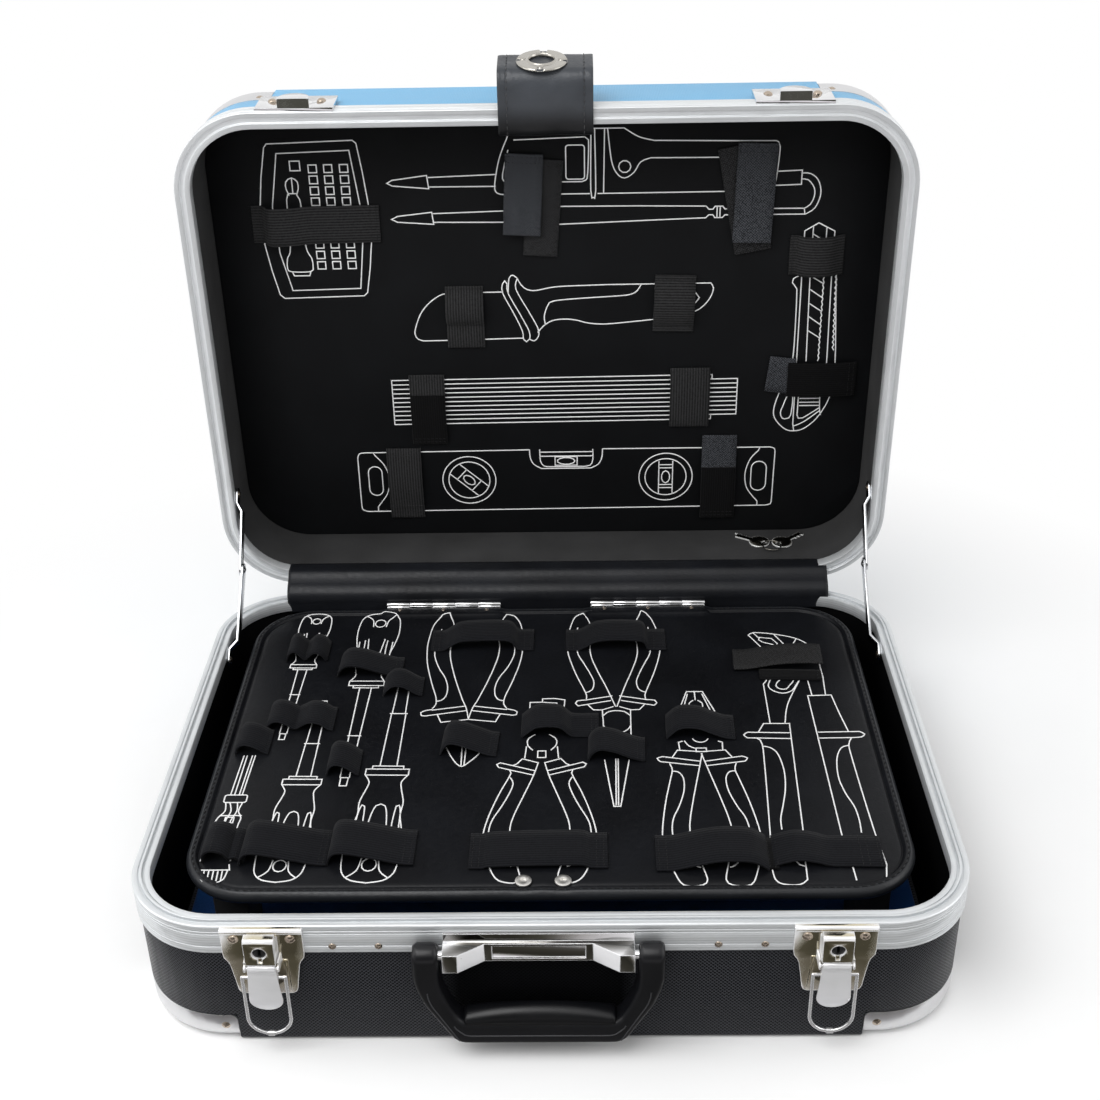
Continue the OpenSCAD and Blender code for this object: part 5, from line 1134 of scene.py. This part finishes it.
# carrying handle
handleShape = {"x": -5.0, "y": -178.0, "z": 73.0, "thick": 14.0, "edge": 3.4, "lineWide": 0.9,
               "lineRise": 0.28, "gripWide": 83.0, "gripLow": -44.0, "gripCrown": 9.0, "gripDeep": 6.75}
handleRail = (  # outer x and height below the pivot, then the window's
    "67,0,53,0 67,-6,53,-6 67,-12,53,-12 66.4,-16,52.7,-17 65.4,-20.4,51.9,-21.5 62.1,-30,49.6,-28.5 "
    "59.1,-35.8,47.4,-34 56,-41.2,45.4,-38 53,-46.4,43.6,-40.9 50,-51.6,41.6,-42.9 47,-56.2,39.2,-43.7 "
    "43.2,-58.8,37,-43.95 39,-59.4,34.5,-44 30,-59.5,29,-44 15,-59.5,15,-44 0,-59.5,0,-44")
handleLines = ("59.6,-20.5 59.3,-24 57.6,-30 54,-37 49,-46.4 45.2,-53.6 43.8,-56.2",
               "46.4,-45 45.4,-47.2 40.6,-51.8 37.6,-52.6")  # on the right arm


def makeHandle():
    shape = handleShape
    rail = smoothPath(readPoints(handleRail), 3.0)
    rail += [(-a, b, -c, d) for a, b, c, d in reversed(rail[:-1])]
    half, edge = shape["thick"] / 2, shape["edge"]
    points = []

    def addSection(outer, inner, depth, shrink=0.0):
        # a rounded rectangle across the bar
        middle, reach = (outer + inner) / 2, (outer - inner) / 2
        direction, long = reach.normalized(), reach.length - shrink
        radius = min(edge, depth * 0.98, long * 0.98)
        for quarter, (signAcross, signDepth) in enumerate(((1, 1), (-1, 1), (-1, -1), (1, -1))):
            for k in range(6):
                turn = pi / 2 * (quarter + k / 6)
                spot = middle + direction * (signAcross * (long - radius) + cos(turn) * radius)
                deep = signDepth * (depth - radius) + sin(turn) * radius
                points.append((shape["x"] + spot[0], shape["y"] + deep, shape["z"] + spot[1]))

    def roundTop(row, turns):
        for turn in turns:
            rise = sin(radians(turn))
            lift = Vector((0, half * rise))
            addSection(Vector(row[:2]) + lift, Vector(row[2:]) + lift, max(0.8, half * cos(radians(turn))),
                       1.6 * rise ** 4)

    turns = (84, 70, 55, 40, 25, 12)
    roundTop(rail[0], turns)
    for row in rail:
        addSection(Vector(row[:2]), Vector(row[2:]), half)
    roundTop(rail[-1], turns[::-1])
    faces = [face[::-1] for face in tubeFaces(len(points) // 24, 24)]
    makePiece("handleBar", "handle", points, faces, "handlePlastic", ("handle_frame",))

    # raised moulded lines on the front face, coloured lighter than the bar as a painted highlight
    lines, high = [], shape["lineRise"]
    for line in (readPoints(text) for text in handleLines):
        lines += [smoothPath([(side * x, z) for x, z in line], 3.0) for side in (1, -1)]
    points, faces = [], []
    for path in lines + [[(37.6, -52.6), (-37.6, -52.6)]]:
        start = len(points)
        for i, spot in enumerate(path):
            side = wayAlong(path, i)[1] * shape["lineWide"]
            for share, rise in ((0.5, -0.15), (0.25, high), (-0.25, high), (-0.5, -0.15)):
                x, z = Vector(spot) + side * share
                points.append((shape["x"] + x, shape["y"] - half - rise, shape["z"] + z))
        faces += rowFaces(len(path), 4, False, start)
    makePiece("handleMouldedLines", "handle", points, faces, "handleLine")


def makeGrip():
    shape = handleShape
    wide, crown = shape["gripWide"] / 2, shape["gripCrown"]
    reach = (wide ** 2 + crown ** 2) / (2 * crown)
    rows, around = 47, 18
    points = []
    for i in range(rows):
        share = sin(pi / 2 * (i / (rows - 1) * 2 - 1))
        x = wide * share
        height = (math.sqrt(max(0, reach ** 2 - x ** 2)) - reach + crown) * 0.45 + crown * 0.52
        end = math.sqrt(max(0.0, 1 - abs(share) ** 70))
        height, deep = max(0.25, height * end), shape["gripDeep"] * (0.30 + 0.70 * end)
        for k in range(around):
            turn = pi * k / (around - 1)
            points.append((shape["x"] + x, shape["y"] - deep * cos(turn) * (1 - 0.04 * sin(turn)),
                           shape["z"] + shape["gripLow"] + height * sin(turn) ** 0.82 - 0.4))
    grip = makePiece("handleSoftGrip", "handle", points, tubeFaces(rows, around), "gripRubber",
                     ("handle_grip",))


# leather strap and its snap on the lid's edge, drawn with the lid shut
strapShape = {"left": -28.0, "wide": 58.0, "thick": 1.1, "columns": 40, "seamIn": 5.5, "stitchEvery": 3.4}
snapRingShape = {"outer": 15.6, "hole": 7.6, "thick": 1.3, "x": -1, "depth": 11.5, "rise": 25.3}
strapLine = (  # depth into the lid, height above the lid's front side
    "11.5,-11.4 9.4,-13.4 6,-15.6 2.8,-16.8 0.4,-16.2 -1,-13.6 -1.6,-9 -2.1,-2 -2.4,5 -2.2,12 -1.2,17.2 "
    "0.6,20.8 2.9,22.9 6,23.9 10,24.6 17,25.6 22.6,26.3 25,26.2 26.4,24.6 26.9,20 26.7,12 26,6 24.4,2 "
    "23.9,0.6")


def strapPoint(x, depth, rise):
    return (x, -caseSizes["depth"] / 2 - rise, caseSizes["baseHeight"] + depth)


def makeStrap():
    shape = strapShape
    line = smoothPath(readPoints(strapLine), 1.0)
    normals = [wayAlong(line, i)[1] for i in range(len(line))]  # out of the loop
    rng = random.Random(61)
    waves = [rng.uniform(0, 6.28) for _ in range(6)]

    def liftAt(i, across):
        depth, rise = line[i]
        ripple = 0.12 * sin((shape["left"] + across) * 0.22 + waves[0]) * sin(i * 0.35 + waves[1])
        nearSeam = min(abs(across - shape["seamIn"]), abs(across - shape["wide"] + shape["seamIn"]))
        dip = -0.22 * math.exp(-(nearSeam / 0.8) ** 2)
        nearEdge = min(across, shape["wide"] - across)
        rounding = -0.3 * (1 - smoothStep(nearEdge, 0, 0.9))
        # creases near the upper corners of the loop
        crease = 0.16 * sin(across * 1.6 + depth * 0.9) * math.exp(-((rise - 21) / 4) ** 2)
        return ripple + dip + rounding + crease * (1 - smoothStep(nearEdge, 6, 16))

    steps = {shape["wide"] * k / shape["columns"] for k in range(shape["columns"] + 1)}
    for inset in (0.3, 0.8, 4.7, 5.1, 5.5, 5.9, 6.3):  # finer beside the edges and the seams
        steps |= {inset, shape["wide"] - inset}
    points = []
    for i, spot in enumerate(line):
        outer, inner = [], []
        for across in sorted(steps):
            lift = liftAt(i, across)
            for side, shift in ((outer, lift), (inner, lift * 0.2 - shape["thick"])):
                side.append(strapPoint(shape["left"] + across, *(Vector(spot) + normals[i] * shift)))
        points += outer + inner[::-1]
    strap = makePiece("lidStrapLeather", "lid", points, tubeFaces(len(line), 2 * len(steps)), "strapSkin",
                      ("lid_strap",), lidSwing)

    points, faces = [], []
    for seam in (shape["seamIn"], shape["wide"] - shape["seamIn"]):
        travelled = 0.0
        for i in range(3, len(line) - 3):
            travelled += math.dist(line[i - 1], line[i])
            if travelled >= shape["stitchEvery"]:
                travelled = 0.0
                depth, rise = Vector(line[i]) + normals[i] * 0.02
                along = Vector((0, -(line[i + 1][1] - line[i - 1][1]), line[i + 1][0] - line[i - 1][0]))
                above = Vector((0, -normals[i][1], normals[i][0]))
                middle = strapPoint(shape["left"] + seam, depth, rise)
                addStitch(points, faces, middle, along, above, 2.5, 0.7)
    stitches = makePiece("lidStrapStitches", "lid", points, faces, "strapThread", (), lidSwing)
    return strap, stitches


def makeSnapRing():
    # flat ring with a rolled rim round its hole, four slots and folded prongs
    shape = snapRingShape
    outer, hole, thick = shape["outer"], shape["hole"], shape["thick"]
    tilt = math.atan(3 / 20)
    insets = (0, 0.1, 0.35, 0.7, 1.1, 1.5, 1.9, 2.3, 2.8, 3.4, 4.0, 4.6, 5.1, 5.6, 6.2, 7.0)
    radii = [hole + v for v in insets] + [outer - v for v in (0.9, 0.5, 0.2, 0)]
    around = 180
    points, heights = [], []

    def ringHeight(radius, turn):
        rim = 0.95 * math.exp(-((radius - hole - 0.75) / 0.55) ** 2)
        dish = 0.1 * smoothStep(radius, hole + 1.5, outer - 1.5)
        rounding = 0.8 * (1 - smoothStep(outer - radius, 0, 0.8)) ** 2
        rounding += 0.5 * (1 - smoothStep(radius - hole, 0, 0.4))
        quarter = abs((degrees(turn) + 49) % 90 - 45)
        slot = (1 - smoothStep(quarter, 7.5, 9.5)) * smoothStep(radius, hole + 2.2, hole + 2.8)
        prong = 1.7 * math.exp(-((radius - hole - 4.0) / 1.1) ** 2 - (radius * radians(quarter) / 1.1) ** 2)
        return max(0.15, thick + rim + dish - rounding - (thick - 0.2) * slot + prong)

    def addRing(radius, flat=False):
        for k in range(around):
            turn = 2 * pi * k / around
            z = 0.0 if flat else ringHeight(radius, turn)
            rise = shape["rise"] + radius * sin(turn) * sin(tilt) + z * cos(tilt)
            depth = shape["depth"] + radius * sin(turn) * cos(tilt) - z * sin(tilt)
            points.append(strapPoint(shape["x"] + radius * cos(turn), depth, rise))
            heights.append(z if hole + 2.3 < radius < outer - 0.1 and not flat else thick)

    addRing(outer - 0.1, True)  # underside, from the outside inwards
    addRing(hole + 0.1, True)
    for radius in radii:
        addRing(radius)
    rows = len(radii) + 2
    last = (rows - 1) * around
    faces = rowFaces(rows, around, True)
    faces += [(last + k, last + (k + 1) % around, (k + 1) % around, k) for k in range(around)]
    inSlot = [int(max(heights[i] for i in face) < 0.75) for face in faces]
    return makePiece("lidStrapSnapRing", "lid", points, faces, "snapNickel strapSkin",
                     ("strap_snap",), lidSwing, None, inSlot)


# leatherette over the hinge gap, and the felt on the floor
hingeCoverShape = {"left": -189.6, "right": 195.0, "thick": 0.9, "wave": 0.35, "out": 0.7, "columns": 150}
hingeCoverLine = (  # place behind the middle and height, from under one frame's lip to the other's
    "159.6,76.8 159.6,80.6 159.4,84.4 159.1,88 160.4,91.6 163.5,94.6 167.2,96.6 170.2,98.6 172,100.4 "
    "173.8,101.6 176,101.9 178.6,101.9 182.4,102 184.4,101.4 186,100.7")
floorFeltShape = {"corner": 40.0, "wave": 0.25}


def makeHingeCover():
    shape = hingeCoverShape
    line = smoothPath(readPoints(hingeCoverLine), 1.2)
    columns, wide = shape["columns"], shape["right"] - shape["left"]
    rng = random.Random(29)
    waves = [(rng.uniform(0.02, 0.12), rng.uniform(0, 6.28)) for _ in range(4)]
    points = []
    for i, (y, z) in enumerate(line):
        normal = wayAlong(line, i)[1]
        loose = sin(pi * i / (len(line) - 1)) * shape["wave"] / 4
        row, under = [], []
        for k in range(columns + 1):
            x = shape["left"] + wide * k / columns
            out = sum(sin(x * f + p) for f, p in waves) * loose + shape["out"]
            for side, shift in ((row, out), (under, out - shape["thick"])):
                side.append((x, y + normal[0] * shift, z + normal[1] * shift))
        points += row + under[::-1]
    cover = makePiece("hingeCoverCloth", None, points, tubeFaces(len(line), 2 * (columns + 1)), "coverSkin",
                      ("hinge_cover",))
    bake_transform(cover)


def makeFloorFelt():
    shape = floorFeltShape
    low, high = (Vector(c) * 1000 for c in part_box("floor_mat"))
    halfX, halfY, base, top = (high[0] - low[0]) / 2, (high[1] - low[1]) / 2, low[2], high[2]
    rows = [(30, base), (1.0, base), (0.2, base + 0.5), (0.0, (base + top) / 2), (0.3, top - 0.5),
            (1.2, top - 0.1)] + [(inset, top) for inset in (3, 8, 18, 34, 60, 95, 130)]
    points = []
    for inset, z in rows:
        onTop = inset > 2 and z > base
        ring = roundedRing(halfX - inset, halfY - inset, shape["corner"] - inset, 60, 40, 8)
        for x, y in ring:
            wave = shape["wave"] * sin(x * 0.05) * sin(y * 0.061 + 1) - 0.1
            points.append((x, y, z + wave * onTop))
    felt = makePiece("floorFelt", "base", points, tubeFaces(len(rows), len(ring)), "matCloth",
                     ("floor_mat",))


makePalletCover()
palletPrints()
lidPrints()
print("pallet cover and printed outlines made")
palletTop, panelFace = caseSizes["palletTop"], caseSizes["lidPanelFace"]
makeTapes("palletLoop", "pallet", "pallet_elastic_loops", palletLoops, palletTop, 1, 1)
makeTapes("palletHookStrap", "pallet", "pallet_hook_strap", palletHook, palletTop, 1, 2)
makeTapes("lidLoop", "lid", "lid_elastic_loops", lidLoops, panelFace, -1, 3, lidSwing, "lidWebbing")
makeTapes("lidHookStrap", "lid", "lid_hook_straps", lidHooks, panelFace, -1, 4, lidSwing, "lidWebbing")
print("webbing laid:", len(palletLoops) + len(palletHook) + len(lidLoops) + len(lidHooks))
makeHandle()
makeGrip()
for piece in (*makeStrap(), makeSnapRing()):  # each piece gets a mesh of its own
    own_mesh(piece)
makeHingeCover()
makeFloorFelt()
print("handle, strap, hinge cover and floor felt made")
